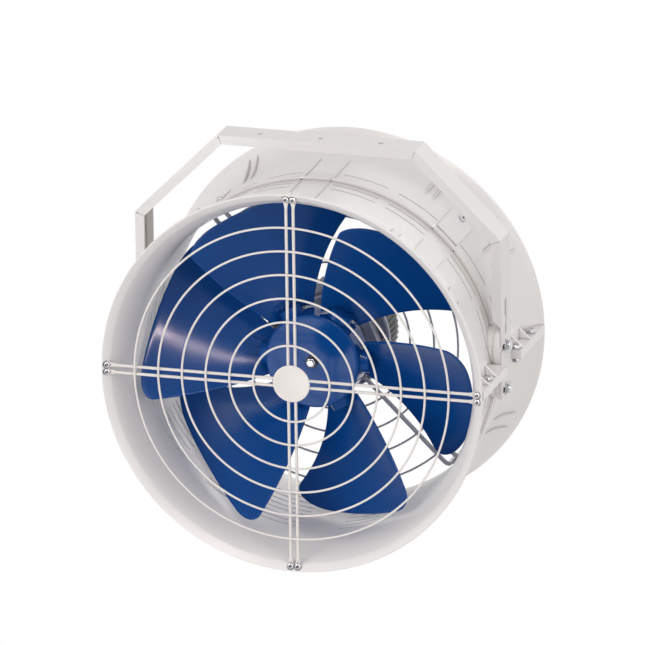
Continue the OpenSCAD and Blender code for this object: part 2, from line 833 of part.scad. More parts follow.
module motor_pan() {
    color(cast_grey) fan_frame() translate([0, 0, -pan_skirt_end]) difference() {
        cylinder(h = pan_skirt_end - pan_back, r = pan_r, $fn = 8);
        translate([0, 0, -over])
            cylinder(h = pan_skirt_end - pan_back - pan_t + over, r = pan_r - pan_t, $fn = 8);
        cylinder(h = pan_skirt_end - pan_back + over, r = pan_hole_r);
        ring_of(4) translate([pan_screw_place, 0, 0])
            cylinder(h = pan_skirt_end - pan_back + over, r = pan_screw_r + play);
    }
}

module motor_pan_screws() {
    color(chrome) fan_frame() ring_of(4) translate([pan_screw_place, 0, -pan_back])
        button_screw(pan_screw_r, pan_screw_len, pan_head_r, pan_head_h);
}

// Motor

shield_face = rod_back + rod_d / 2 + play;
body_start = shield_face + shield_t;
body_end = body_start + motor_len;
spigot_len = 6;
bearing_r = 31;
bearing_w = 16;
rear_bearing_r = 26;
rear_bearing_w = 14;
shield_screw_r = 2;
shield_screw_place = motor_bore + (fin_root_r - motor_bore) / 2;
shield_screw_grip = 8;
shield_hole_len = 10;
shield_head_r = 3.4;
shield_head_h = 2.4;
rear_cap = 12;
rear_flange_t = 6;
shield_edge = 3;
shaft_clear = 1;

// All motor parts are drawn with z measured rearward from the joint of the shells
module motor_frame() {
    fan_frame() mirror([0, 0, 1]) children();
}

spigot_wall = 6;
collar_wall = 6;

// Ring that centres a shield in the body, and collar round its bearing
module spigot(seat_r) {
    tube(motor_bore - play, motor_bore - spigot_wall, spigot_len);
    tube(seat_r + collar_wall, seat_r + play, spigot_len);
}

module front_end_shield() {
    nose_face = pan_back + pan_t;
    color(cast_grey) motor_frame() difference() {
        union() {
            translate([0, 0, nose_face]) cylinder(h = body_start - nose_face, r = nose_r);
            rotate_extrude() polygon([[0, shield_face], [shield_r - shield_edge, shield_face],
                [shield_r, shield_face + shield_edge], [shield_r, body_start], [0, body_start]]);
            translate([0, 0, body_start]) spigot(bearing_r);
        }
        translate([0, 0, nose_face - over])
            cylinder(h = body_start + spigot_len - nose_face + 2 * over, r = shaft_r + shaft_clear);
        translate([0, 0, body_start + spigot_len - bearing_w])
            cylinder(h = bearing_w + over, r = bearing_r + play);
        ring_of(4) translate([pan_screw_place, 0, nose_face - over])
            cylinder(h = pan_screw_len, r = pan_screw_r + play);
        ring_of(4) translate([shield_screw_place, 0, shield_face - over])
            cylinder(h = shield_t + 2 * over, r = shield_screw_r + play);
    }
}

// Outline of the finned body: each fin has a flat top a third of the pitch wide
fin_shares = [0.08, 0.16, 0.44, 0.52];

function fin_points() = [for (i = [0 : fin_count - 1], k = [0 : 3])
    let (a = (i + fin_shares[k]) * 360 / fin_count, r = k == 0 || k == 3 ? fin_root_r : fin_r)
    r * [cos(a), sin(a)]];

box_depth = 30;
box_half_w = 30;
box_half_l = 24;
box_wall = 3;
// How far the flat seat of the terminal box stands out over the fins
box_lift = 2;
box_seat = fin_r + box_lift;
box_mid = body_start + motor_len / 2;

module motor_body() {
    color(motor_grey) motor_frame() difference() {
        union() {
            translate([0, 0, body_start]) linear_extrude(motor_len) polygon(fin_points());
            translate([-box_seat, -box_half_w, box_mid - box_half_l])
                cube([box_seat - motor_bore, 2 * box_half_w, 2 * box_half_l]);
        }
        translate([0, 0, body_start - over]) cylinder(h = motor_len + 2 * over, r = motor_bore);
        for (z = [body_start - over, body_end - shield_hole_len])
            ring_of(4) translate([shield_screw_place, 0, z])
                cylinder(h = shield_hole_len + over, r = shield_screw_r + play);
    }
}

module rear_end_shield() {
    color(cast_grey) motor_frame() difference() {
        union() {
            rotate_extrude() polygon([[0, body_end], [fin_root_r, body_end],
                [fin_root_r, body_end + rear_flange_t],
                [motor_bore - spigot_wall, body_end + rear_flange_t],
                [rear_bearing_r + collar_wall, body_end + rear_cap], [0, body_end + rear_cap]]);
            translate([0, 0, body_end - spigot_len]) spigot(rear_bearing_r);
        }
        translate([0, 0, body_end - spigot_len - over])
            cylinder(h = rear_bearing_w + over, r = rear_bearing_r + play);
        ring_of(4) translate([shield_screw_place, 0, body_end - over])
            cylinder(h = rear_flange_t + 2 * over, r = shield_screw_r + play);
    }
}

module shield_screws() {
    color(chrome) motor_frame() {
        ring_of(4) translate([shield_screw_place, 0, shield_face]) mirror([0, 0, 1])
            button_screw(shield_screw_r, shield_t + shield_screw_grip, shield_head_r, shield_head_h);
        ring_of(4) translate([shield_screw_place, 0, body_end + rear_flange_t])
            button_screw(shield_screw_r, rear_flange_t + shield_screw_grip, shield_head_r, shield_head_h);
    }
}

rotor_r = 50;
air_gap = 0.8;
winding_r = 5;
winding_gap = 2;
stator_start = body_start + 2 * winding_r + winding_gap;
stator_end = body_end - 2 * winding_r - winding_gap;

module stator_core() {
    color(steel_grey) motor_frame() translate([0, 0, stator_start])
        tube(motor_bore - play, rotor_r + air_gap, stator_end - stator_start);
}

module stator_windings() {
    color("#b5652d") motor_frame() for (z = [stator_start - winding_r, stator_end + winding_r])
        translate([0, 0, z]) rotate_extrude() translate([(motor_bore + rotor_r) / 2, 0])
            circle(r = winding_r - play);
}

module front_bearing() {
    color(chrome) motor_frame() translate([0, 0, body_start + spigot_len - bearing_w])
        tube(bearing_r, shaft_r + play, bearing_w);
}

module rear_bearing() {
    color(chrome) motor_frame() translate([0, 0, body_end - spigot_len])
        tube(rear_bearing_r, shaft_r + play, rear_bearing_w);
}

module box_screw_places() {
    inset = 2 * box_wall;
    for (y = [-1, 1], z = [-1, 1])
        translate([-box_seat - box_depth, y * (box_half_w - inset), box_mid + z * (box_half_l - inset)])
            children();
}

gland_r = 9;
gland_len = 16;
gland_nut_h = 10;
gland_step = 1;
gland_bore = 4.5;
post_r = 5;
lid_screw_r = 2;
lid_screw_len = 14;
lid_head_r = 3.6;
lid_head_h = 2.6;

module terminal_box() {
    color(motor_grey) motor_frame() difference() {
        union() {
            difference() {
                translate([-box_seat - box_depth, -box_half_w, box_mid - box_half_l])
                    cube([box_depth, 2 * box_half_w, 2 * box_half_l]);
                translate([-box_seat - box_depth - over, box_wall - box_half_w,
                    box_mid - box_half_l + box_wall])
                    cube([box_depth - box_wall + over, 2 * box_half_w - 2 * box_wall,
                        2 * box_half_l - 2 * box_wall]);
            }
            box_screw_places() rotate([0, 90, 0]) cylinder(h = box_depth, r = post_r);
        }
        box_screw_places() translate([-over, 0, 0]) rotate([0, 90, 0])
            cylinder(h = lid_screw_len, r = lid_screw_r + play);
        translate([-box_seat - box_depth / 2, -box_half_w - over, box_mid]) rotate([-90, 0, 0])
            cylinder(h = box_wall + 2 * over, r = gland_r - 2 * gland_step + play);
    }
}

lid_t = 4;

module terminal_box_lid() {
    color(motor_grey) motor_frame() difference() {
        translate([-box_seat - box_depth - lid_t, -box_half_w, box_mid - box_half_l])
            cube([lid_t, 2 * box_half_w, 2 * box_half_l]);
        box_screw_places() translate([-lid_t - over, 0, 0]) rotate([0, 90, 0])
            cylinder(h = lid_t + 2 * over, r = lid_screw_r + play);
    }
}

module lid_screws() {
    color(chrome) motor_frame() box_screw_places() translate([-lid_t, 0, 0]) rotate([0, -90, 0])
        button_screw(lid_screw_r, lid_screw_len, lid_head_r, lid_head_h);
}

module cable_gland() {
    color(rubber_black) motor_frame()
        translate([-box_seat - box_depth / 2, -box_half_w - gland_len, box_mid])
        rotate([-90, 0, 0]) difference() {
            union() {
                hex(2 * gland_r, gland_nut_h);
                cylinder(h = gland_len, r = gland_r - gland_step);
                cylinder(h = gland_len + box_wall, r = gland_r - 2 * gland_step);
            }
            translate([0, 0, -over]) cylinder(h = gland_len + box_wall + 2 * over, r = gland_bore);
        }
}

// Fan wheel

boss_gap = 0.3;
hub_mid = hub_front - hub_plate - boss_gap - root_r;
rear_plate_z = hub_mid - root_r - boss_gap - hub_plate;
sleeve_r = 24;
// Gap between the end of the shaft and the front plate
shaft_gap = 2;
shaft_front = hub_front - hub_plate - shaft_gap;
// How far the shaft runs past the motor body
shaft_past = 5;
key_w = 8;
key_h = 7;
key_setback = 4;
key_start = rear_plate_z + key_setback;
key_len = 40;
hub_bolt_r = 3;
hub_bolt_place = 53;
hub_bolt_head = 10;
hub_bolt_head_h = 4;
hub_bolt_tip = 4;
hub_blind = 5;
skirt_wall = 6;
centre_bolt_r = 6;
centre_bolt_grip = 28;
centre_hole_len = 30;
centre_head = 16;
centre_head_h = 7;
// Gap between the adapter and the motor pan
adapter_gap = 4;
adapter_back = pan_back - adapter_gap;
adapter_wall = 6;
adapter_web = 10;

module wheel_key(grow) {
    translate([-key_w / 2 - grow, shaft_r - key_h / 2 - grow, key_start - grow])
        cube([key_w + 2 * grow, key_h + 2 * grow, key_len + 2 * grow]);
}

module motor_shaft() {
    color(steel_grey) fan_frame() difference() {
        translate([0, 0, -body_end - shaft_past])
            cylinder(h = body_end + shaft_past + shaft_front, r = shaft_r);
        wheel_key(play);
        translate([0, 0, shaft_front - centre_hole_len])
            cylinder(h = centre_hole_len + over, r = centre_bolt_r + play);
    }
}

module rotor_core() {
    color(steel_grey) motor_frame() translate([0, 0, stator_start])
        tube(rotor_r, shaft_r + play, stator_end - stator_start);
}

module shaft_key() {
    color(steel_grey) fan_frame() wheel_key(0);
}

module hub_bolt_places() {
    ring_of(6, 30) translate([hub_bolt_place, 0, 0]) children();
}

module hub_adapter() {
    color(chrome) fan_frame() difference() {
        rotate_extrude() polygon([[shaft_r + play, -adapter_back], [sleeve_r, -adapter_back],
            [sleeve_r, rear_plate_z - adapter_web], [adapter_r - adapter_wall, rear_plate_z - adapter_web],
            [adapter_r - adapter_wall, -adapter_back], [adapter_r, -adapter_back],
            [adapter_r, rear_plate_z], [shaft_r + play, rear_plate_z]]);
        hub_bolt_places() translate([0, 0, rear_plate_z - adapter_web - over])
            cylinder(h = adapter_web + 2 * over, r = hub_bolt_r + play);
    }
}

// Side of the hub between a plate and the middle, with notches for the round roots
module hub_skirt(from, to) {
    difference() {
        translate([0, 0, from]) tube(hub_r, hub_r - skirt_wall, to - from);
        ring_of(blade_count) translate([hub_r - 2 * skirt_wall, 0, hub_mid]) rotate([0, 90, 0])
            cylinder(h = 3 * skirt_wall, r = root_r + boss_gap);
    }
}

module hub_rear_plate() {
    color(wheel_blue) fan_frame() difference() {
        union() {
            translate([0, 0, rear_plate_z]) cylinder(h = hub_plate, r = hub_r);
            hub_skirt(rear_plate_z + hub_plate - boss_gap, hub_mid);
            translate([0, 0, rear_plate_z])
                cylinder(h = hub_front - hub_plate - rear_plate_z, r = sleeve_r);
        }
        translate([0, 0, rear_plate_z - over])
            cylinder(h = hub_front - rear_plate_z + 2 * over, r = shaft_r + play);
        wheel_key(play);
        hub_bolt_places() translate([0, 0, rear_plate_z - over])
            cylinder(h = hub_plate + 2 * over, r = hub_bolt_r + play);
    }
}

module hub_front_plate() {
    round_r = 5;
    color(wheel_blue) fan_frame() difference() {
        union() {
            rotate_extrude() polygon(concat(
                [[0, hub_front - hub_plate], [hub_r, hub_front - hub_plate]],
                arc([hub_r - round_r, hub_front - round_r], round_r, 0, 90, 6),
                [[0, hub_front]]));
            hub_skirt(hub_mid + boss_gap, hub_front - hub_plate + boss_gap);
        }
        translate([0, 0, hub_front - hub_plate - over])
            cylinder(h = hub_plate + 2 * over, r = centre_bolt_r + play);
        hub_bolt_places() translate([0, 0, hub_front - hub_plate - over])
            cylinder(h = hub_blind + over, r = hub_bolt_r + play);
    }
}

module hub_bolts() {
    color(chrome) fan_frame() hub_bolt_places() translate([0, 0, rear_plate_z - adapter_web])
        mirror([0, 0, 1]) hex_bolt(hub_bolt_r,
            hub_front - hub_plate + hub_bolt_tip - rear_plate_z + adapter_web,
            hub_bolt_head, hub_bolt_head_h);
}

centre_washer_r = 11.5;
centre_washer_t = 2.5;

module centre_washer() {
    color(motor_grey) fan_frame() translate([0, 0, hub_front])
        tube(centre_washer_r, centre_bolt_r + play, centre_washer_t);
}

module centre_bolt() {
    color(chrome) fan_frame() translate([0, 0, hub_front + centre_washer_t])
        hex_bolt(centre_bolt_r, centre_washer_t + hub_plate + centre_bolt_grip, centre_head, centre_head_h);
}

// Blades. u runs from the front edge (0) to the rear edge (1), and v from the root to the tip.

// The blades start a little outside the hub, and each round root runs a little way into its blade
root_gap = 2.5;
root_run = 12;
blade_start = hub_r + root_gap;
root_end = blade_start + root_run;
root_inner = 46;
// Edge angles from the root axis at the hub, in degrees, and how they change out to the tip
front_angle = 22.8;
front_angle_change = -9.9;
rear_angle = -22;
rear_angle_change = -23.5;
// Edge places ahead of the root axis at the hub, and how they change out to the tip
front_ahead = 7.5;
front_ahead_change = 117.5;
rear_ahead = -27.5;
rear_ahead_change = -37.3;
camber_root = 8;
camber_tip = 30;
front_round = 28;
rear_round = 45;
front_round_share = 0.16;
rear_round_share = 0.3;
tip_hollow = 8;
blade_cols = 14;
blade_rows = 9;
edge_thin_share = 0.35;

function mix(a, b, s) = a + (b - a) * s;
// Columns crowd towards both edges, where the corners are round
function col_share(i) = (1 - cos(180 * i / blade_cols)) / 2;
// How much a round corner takes off the tip at a share s of its width
function corner_cut_at(size, s) = s >= 1 ? 0 : size * (1 - sqrt(1 - pow(1 - s, 2)));
function tip_at(u) = tip_r - tip_hollow * 4 * u * (1 - u)
    - corner_cut_at(front_round, u / front_round_share)
    - corner_cut_at(rear_round, (1 - u) / rear_round_share);

// Middle surface of the blade at edge share u and radius r
function blade_mid(u, r) =
    let (s = (r - hub_r) / (tip_r - hub_r),
        a = mix(front_angle + front_angle_change * s, rear_angle + rear_angle_change * s, u),
        ahead = mix(front_ahead + front_ahead_change * s, rear_ahead + rear_ahead_change * s, u),
        hollow = mix(camber_root, camber_tip, s) * 4 * u * (1 - u))
    [r * cos(a), r * sin(a), hub_mid + ahead - hollow];

function blade_point(i, j, face) =
    let (u = col_share(i),
        r = mix(blade_start, tip_at(u), j / blade_rows),
        du = 0.02, dr = (tip_r - hub_r) / 100,
        p = blade_mid(u, r),
        n = cross(blade_mid(u + du, r) - blade_mid(u - du, r), blade_mid(u, r + dr) - blade_mid(u, r - dr)),
        t = mix(blade_t_root, blade_t_tip, j / blade_rows)
            * (i == 0 || i == blade_cols ? edge_thin_share : 1))
    p + face * t / 2 * n / norm(n);

function blade_index(i, j, face) = face * (blade_cols + 1) * (blade_rows + 1) + j * (blade_cols + 1) + i;

// Two triangles of a grid cell, turned over where flip is true
function cell(a, b, c, d, flip) = flip ? [[a, c, b], [a, d, c]] : [[a, b, c], [a, c, d]];

module blade_skin() {
    points = [for (face = [0, 1], j = [0 : blade_rows], i = [0 : blade_cols])
        blade_point(i, j, face == 0 ? -1 : 1)];
    skins = [for (face = [0, 1], j = [0 : blade_rows - 1], i = [0 : blade_cols - 1])
        each cell(blade_index(i, j, face), blade_index(i + 1, j, face),
            blade_index(i + 1, j + 1, face), blade_index(i, j + 1, face), face == 1)];
    ends = [for (i = [0 : blade_cols - 1], j = [0, blade_rows])
        each cell(blade_index(i, j, 0), blade_index(i, j, 1),
            blade_index(i + 1, j, 1), blade_index(i + 1, j, 0), j == blade_rows)];
    edges = [for (j = [0 : blade_rows - 1], i = [0, blade_cols])
        each cell(blade_index(i, j, 0), blade_index(i, j + 1, 0),
            blade_index(i, j + 1, 1), blade_index(i, j, 1), i == blade_cols)];
    polyhedron(points = points, faces = concat(skins, ends, edges), convexity = 4);
}

module blade(number) {
    color(wheel_blue) fan_frame() rotate([0, 0, (number - 1) * 360 / blade_count]) {
        blade_skin();
        translate([root_inner, 0, hub_mid]) rotate([0, 90, 0])
            cylinder(h = root_end - root_inner, r = root_r);
    }
}

module blade_1() { blade(1); }
module blade_2() { blade(2); }
module blade_3() { blade(3); }
module blade_4() { blade(4); }
module blade_5() { blade(5); }
module blade_6() { blade(6); }

bracket_channel();
pivot_bolts();
pivot_washers();
front_shell();
rear_shell();
joint_screws();
joint_nuts();
pivot_plate_left();
pivot_plate_right();
pivot_plate_screws();
pivot_bushes();
lock_bolts();
lock_washers();
ear_bolts();
ear_nuts();
front_guard();
guard_centre_disc();
front_guard_screws();
support_rods();
rear_guard_rings();
rod_tabs();
rod_washers();
rod_bolts();
rod_nuts();
motor_pan();
motor_pan_screws();
front_end_shield();
motor_body();
rear_end_shield();
shield_screws();
stator_core();
stator_windings();
front_bearing();
rear_bearing();
terminal_box();
terminal_box_lid();
lid_screws();
cable_gland();
motor_shaft();
rotor_core();
shaft_key();
hub_adapter();
hub_rear_plate();
hub_front_plate();
hub_bolts();
centre_washer();
centre_bolt();
blade_1();
blade_2();
blade_3();
blade_4();
blade_5();
blade_6();
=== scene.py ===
import math

import bmesh
import bpy
from mathutils import Matrix, Quaternion, Vector


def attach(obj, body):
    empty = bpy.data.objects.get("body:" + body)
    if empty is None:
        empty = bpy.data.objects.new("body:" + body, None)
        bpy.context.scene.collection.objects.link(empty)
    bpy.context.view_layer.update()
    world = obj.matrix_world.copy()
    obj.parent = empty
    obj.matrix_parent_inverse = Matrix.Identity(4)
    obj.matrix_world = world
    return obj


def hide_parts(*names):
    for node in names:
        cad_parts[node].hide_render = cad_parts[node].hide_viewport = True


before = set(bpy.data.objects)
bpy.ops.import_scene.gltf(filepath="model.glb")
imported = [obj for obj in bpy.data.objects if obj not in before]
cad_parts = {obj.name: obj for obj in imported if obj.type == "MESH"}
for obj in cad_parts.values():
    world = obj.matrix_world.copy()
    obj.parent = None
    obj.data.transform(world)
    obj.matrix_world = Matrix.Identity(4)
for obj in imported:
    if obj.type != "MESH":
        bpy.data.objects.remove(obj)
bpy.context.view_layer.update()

# The view: a long lens, to the right of the fan's front and a little above it.
# The sizes are those of the photograph's own camera, fitted to the rims and the guard.
fan_height, guard_front = -0.403, -0.1995
azimuth, elevation, lean = math.radians(16.9), math.radians(18.5), math.radians(-0.8)
camera_distance = 40.0
# The guard's middle lies this far to the left of the picture's middle and under it.
left_of_middle, under_middle = 0.0551, 0.1096


def placed(name, data):
    """A new object in the scene."""
    made = bpy.data.objects.new(name, data)
    bpy.context.scene.collection.objects.link(made)
    return made


back = Vector((math.sin(azimuth) * math.cos(elevation), -math.cos(azimuth) * math.cos(elevation),
               math.sin(elevation)))
turn = (-back).to_track_quat("-Z", "Y") @ Quaternion((0, 0, 1), lean)
guard_middle = Vector((0, guard_front, fan_height))
camera = placed("camera", bpy.data.cameras.new("camera"))
camera.rotation_mode = "QUATERNION"
camera.rotation_quaternion = turn
camera.location = guard_middle + turn @ Vector((left_of_middle, under_middle, camera_distance))
camera.data.sensor_width = 36
camera.data.lens = 1233
camera.data.clip_end = 100
bpy.context.scene.camera = camera
bpy.context.scene.view_settings.view_transform = "Standard"


# The room: an even white studio. What the camera sees directly, or in metal, is plain white,
# and the light that falls on the fan from all sides is softer.
def linear(colour):
    """Linear RGBA of an sRGB hex colour."""
    parts = [int(colour[i:i + 2], 16) / 255 for i in (1, 3, 5)]
    return [p / 12.92 if p <= 0.04045 else ((p + 0.055) / 1.055) ** 2.4 for p in parts] + [1]


def add(tree, kind, inputs=(), out=0, **settings):
    """Adds a node, sets or links its inputs by name or by number, and gives one of its outputs."""
    made = tree.nodes.new(kind)
    for name, value in settings.items():
        setattr(made, name, value)
    for key, value in inputs.items() if isinstance(inputs, dict) else enumerate(inputs):
        if isinstance(value, bpy.types.NodeSocket):
            tree.links.new(value, made.inputs[key])
        else:
            made.inputs[key].default_value = value
    return made.outputs[out] if made.outputs else None


def seen(tree):
    """1 for rays that show the background, 0 for the light that it sheds."""
    camera_ray = add(tree, "ShaderNodeLightPath", out="Is Camera Ray")
    glossy_ray = add(tree, "ShaderNodeLightPath", out="Is Glossy Ray")
    clear_ray = add(tree, "ShaderNodeLightPath", out="Is Transmission Ray")
    either = add(tree, "ShaderNodeMath", (camera_ray, glossy_ray), operation="MAXIMUM")
    return add(tree, "ShaderNodeMath", (either, clear_ray), operation="MAXIMUM")


room_light = 0.78
world = bpy.data.worlds.new("studio")
bpy.context.scene.world = world
world.use_nodes = True
world.node_tree.nodes.clear()
strength = add(world.node_tree, "ShaderNodeMapRange", {0: seen(world.node_tree), 3: room_light, 4: 1.0})
sky = add(world.node_tree, "ShaderNodeBackground", {"Color": linear("#FFFFFF"), "Strength": strength})
add(world.node_tree, "ShaderNodeOutputWorld", (sky,))

# Four soft square lamps: a large key from the left, fills from the right and from below, and one
# behind, which lifts the rim of the drum from the white. All are turned to the middle of the fan.
lamp_aim = Vector((0, 0, -0.4))
for name, place, size, watts in (
        ("key", (-2.0, -2.4, 0.9), 1.8, 23),
        ("fill", (2.2, -2.0, 0.3), 1.6, 16),
        ("low", (-1.3, -2.6, -1.6), 1.4, 22),
        ("rear", (0.4, 3.0, 0.6), 1.8, 16)):
    lamp = placed(name, bpy.data.lights.new(name, "AREA"))
    lamp.data.energy = watts
    lamp.data.size = size
    lamp.location = place
    lamp.rotation_euler = (lamp_aim - Vector(place)).to_track_quat("-Z", "Y").to_euler()

# A long narrow lamp over the front, seen by mirroring faces alone, draws the pale streak on the
# left blade.
strip_from, strip_to, strip_width = Vector((0.06, -1.45, 2.1)), Vector((1.26, -1.8, 1.35)), 0.14
lamp = placed("strip", bpy.data.lights.new("strip", "AREA"))
lamp.data.shape = "RECTANGLE"
lamp.data.size, lamp.data.size_y = (strip_to - strip_from).length, strip_width
lamp.data.energy = 32
lamp.data.color = linear("#FFE9E4")[:3]
lamp.visible_diffuse = False
strip_middle = (strip_from + strip_to) / 2
along = (strip_to - strip_from).normalized()
aside = (strip_middle - lamp_aim).normalized().cross(along).normalized()
lamp.matrix_world = Matrix.Translation(strip_middle) @ Matrix(
    (along, aside, along.cross(aside))).transposed().to_4x4()


# A dark cloth before the fan, seen by mirroring faces alone, gives the plated screws their dark
# middles and the hub its deep blue. It is a plain felt.
def clouded(name, colours, per_metre, detail):
    """A new material, its nodes, the place on the piece, clouds there, and a tone that drifts in them."""
    made = bpy.data.materials.new(name)
    made.use_nodes = True
    tree = made.node_tree
    tree.nodes.clear()
    place = add(tree, "ShaderNodeTexCoord", out="Object")
    clouds = add(tree, "ShaderNodeTexNoise", {"Vector": place, "Scale": per_metre, "Detail": detail})
    tone = add(tree, "ShaderNodeMix", {0: clouds, 6: linear(colours[0]), 7: linear(colours[1])}, out=2,
               data_type="RGBA")
    return made, tree, place, clouds, tone


def sheet(name, corners, material):
    """A plain rectangle that stands in the studio."""
    mesh = bpy.data.meshes.new(name)
    mesh.from_pydata(corners, [], [(0, 1, 2, 3)])
    mesh.materials.append(material)
    return placed(name, mesh)


cloth_left, cloth_right, cloth_low, cloth_high, cloth_front = -2.2, 1.9, -2.0, 1.0, -3.6
felt, tree, _, _, tone = clouded("dark_felt", ("#1C1C1E", "#26262A"), per_metre=3.0, detail=2.0)
matt = add(tree, "ShaderNodeBsdfPrincipled", {"Base Color": tone, "Roughness": 0.9})
add(tree, "ShaderNodeOutputMaterial", (matt,))
cloth_corners = [(x, cloth_front, z)
                 for x, z in ((cloth_left, cloth_low), (cloth_right, cloth_low),
                              (cloth_right, cloth_high), (cloth_left, cloth_high))]
cloth = sheet("dark_cloth", cloth_corners, felt)
cloth.visible_camera = cloth.visible_diffuse = cloth.visible_shadow = cloth.visible_transmission = False

# The floor: matt pale vinyl, far below the hanging fan. It fades into the white room away from the
# fan, so that no edge of it shows.
floor_size, floor_height, fade_from, fade_to = 2.6, -1.75, 1.0, 2.2
vinyl, tree, place, _, tone = clouded("pale_vinyl", ("#EFEEEC", "#F3F2F1"), per_metre=6.0, detail=4.0)
flat = add(tree, "ShaderNodeVectorMath", (place, (1, 1, 0)), operation="MULTIPLY")
reach = add(tree, "ShaderNodeVectorMath", (flat,), out="Value", operation="LENGTH")
fade = add(tree, "ShaderNodeMapRange", {0: reach, 1: fade_from, 2: fade_to}, interpolation_type="SMOOTHSTEP")
matt = add(tree, "ShaderNodeBsdfPrincipled", {"Base Color": tone, "Roughness": 0.8})
white = add(tree, "ShaderNodeEmission", {"Color": linear("#FFFFFF"), "Strength": seen(tree)})
add(tree, "ShaderNodeOutputMaterial", (add(tree, "ShaderNodeMixShader", (fade, matt, white)),))
floor_corners = [(x * floor_size, y * floor_size, floor_height)
                 for x, y in ((-1, -1), (1, -1), (1, 1), (-1, 1))]
floor = sheet("floor", floor_corners, vinyl)


# The bracket: a folded channel of 2.5 mm steel sheet, with its slots and holes punched before
# the folding, and powder coated white. The coat rounds each edge a little.
def finish(name, colours, roughness, grain, relief, painted_crease_shade=1.0, **sockets):
    """A material whose tone drifts between two colours, with a skin of grains of a real size in metres.

    Relief is the height of the grains. Painted crease shade darkens the tone in creases, where ambient
    occlusion finds them, down to the given share of it.
    """
    crease_reach, crease_closed, crease_open, gloss_drift = 0.005, 0.45, 0.9, 0.04
    made, tree, place, clouds, tone = clouded(name, colours, per_metre=7.0, detail=3.0)
    # Painted shade: the tone is darkened in creases and corners, where ambient occlusion finds little open
    # room.
    if painted_crease_shade < 1.0:
        open_share = add(tree, "ShaderNodeAmbientOcclusion", {"Distance": crease_reach}, out="AO", samples=8,
                         only_local=True)
        shade = add(tree, "ShaderNodeMapRange",
                    {0: open_share, 1: crease_closed, 2: crease_open, 3: painted_crease_shade, 4: 1.0})
        tone = add(tree, "ShaderNodeVectorMath", {0: tone, "Scale": shade}, operation="SCALE")
    gloss = add(tree, "ShaderNodeMapRange",
                {0: clouds, 1: 0.3, 2: 0.7, 3: roughness - gloss_drift, 4: roughness + gloss_drift})
    skin = add(tree, "ShaderNodeTexNoise", {"Vector": place, "Scale": 1 / grain, "Detail": 2.0})
    bumps = add(tree, "ShaderNodeBump", {"Height": skin, "Distance": relief, "Strength": 0.35})
    shader = add(tree, "ShaderNodeBsdfPrincipled",
                 {"Base Color": tone, "Roughness": gloss, "Normal": bumps, **sockets})
    add(tree, "ShaderNodeOutputMaterial", (shader,))
    return made


def clean_copy(node, rounding, angle=35):
    """The mesh of a CAD node with its loose triangles merged, and edges sharper than the angle rounded."""
    same_place, same_plane = 2e-6, math.radians(0.4)
    bm = bmesh.new()
    bm.from_mesh(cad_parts[node].data)
    bmesh.ops.remove_doubles(bm, verts=bm.verts, dist=same_place)
    bmesh.ops.dissolve_limit(bm, angle_limit=same_plane, verts=bm.verts, edges=bm.edges)
    mesh = bpy.data.meshes.new(node)
    bm.to_mesh(mesh)
    bm.free()
    mesh.shade_smooth()
    holder = placed(node, mesh)
    if rounding:
        bevel = holder.modifiers.new("edges", "BEVEL")
        bevel.width, bevel.segments, bevel.limit_method = rounding, 2, "ANGLE"
        bevel.angle_limit = math.radians(angle)
    else:
        mesh.set_sharp_from_angle(angle=math.radians(angle))
    even = holder.modifiers.new("shading", "WEIGHTED_NORMAL")
    even.keep_sharp = True
    made = bpy.data.meshes.new_from_object(holder.evaluated_get(bpy.context.evaluated_depsgraph_get()))
    bpy.data.objects.remove(holder)
    return made


def piece(name, mesh, material, body, slot, *nodes):
    """One finished piece in the given material, which rides on a body and stands for CAD nodes. Its slot is
    not used.
    """
    mesh.name = name
    mesh.materials.clear()
    mesh.materials.append(material)
    made = placed(name, mesh)
    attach(made, body)
    if nodes:
        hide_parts(*nodes)
    return made


# Its creases and corners get painted shade.
powder_coat = finish("white_powder_coat", ("#DDD9D7", "#E2DFDD"), roughness=0.42,
                     grain=0.0016, relief=0.00012, painted_crease_shade=0.5)
piece("bracket", clean_copy("bracket_channel", rounding=0.0006), powder_coat, "bracket", "bracket_paint",
      "bracket_channel")


# The bolts of the tilt joint: zinc-plated hex bolts over plain washers, in turned steel bushes. They
# are cold forged, with a chamfered head, and the plating has a bright, slightly clouded shine.
def loft(loops, close=True):
    """A mesh through loops of equal count, from the first to the last, with both ends closed."""
    count = len(loops[0])
    bm = bmesh.new()
    rows = [[bm.verts.new(p) for p in loop] for loop in loops]
    for low, high in zip(rows, rows[1:]):
        for i in range(count):
            j = (i + 1) % count
            bm.faces.new((low[i], low[j], high[j], high[i]))
    if close:
        bm.faces.new(reversed(rows[0]))
        bm.faces.new(rows[-1])
    mesh = bpy.data.meshes.new("loft")
    bm.to_mesh(mesh)
    bm.free()
    return mesh


def round_loop(radius, height, count=24):
    """Points round a circle."""
    return [(radius * math.cos(math.tau * i / count), radius * math.sin(math.tau * i / count), height)
            for i in range(count)]


def hex_loop(half, height, count=24):
    """Points round a hexagon; half is half its width over the flats."""
    loop = []
    for i in range(count):
        angle = math.tau * i / count
        reach = half / math.cos((angle + math.pi / 6) % (math.pi / 3) - math.pi / 6)
        loop.append((reach * math.cos(angle), reach * math.sin(angle), height))
    return loop


def hex_head(across, height, tip_length=0.0, tip_radius=0.0):
    """A hex head with a chamfered top, or a nut with the threaded tip of its screw in it."""
    half, chamfer, pitch = across / 2, height * 0.16, 0.0012
    loops = [round_loop(half * 0.96, 0), hex_loop(half, chamfer * 0.6), hex_loop(half, height - chamfer),
             round_loop(half * 0.94, height)]
    if tip_radius:
        loops.append(round_loop(tip_radius * 1.12, height))
        loops.append(round_loop(tip_radius, height - pitch / 2))
        for i in range(int(tip_length / pitch)):
            loops.append(round_loop(tip_radius, height + (i + 0.3) * pitch))
            loops.append(round_loop(tip_radius * 0.9, height + (i + 0.8) * pitch))
    else:
        loops.append(round_loop(half * 0.5, height))
    return loft(loops)


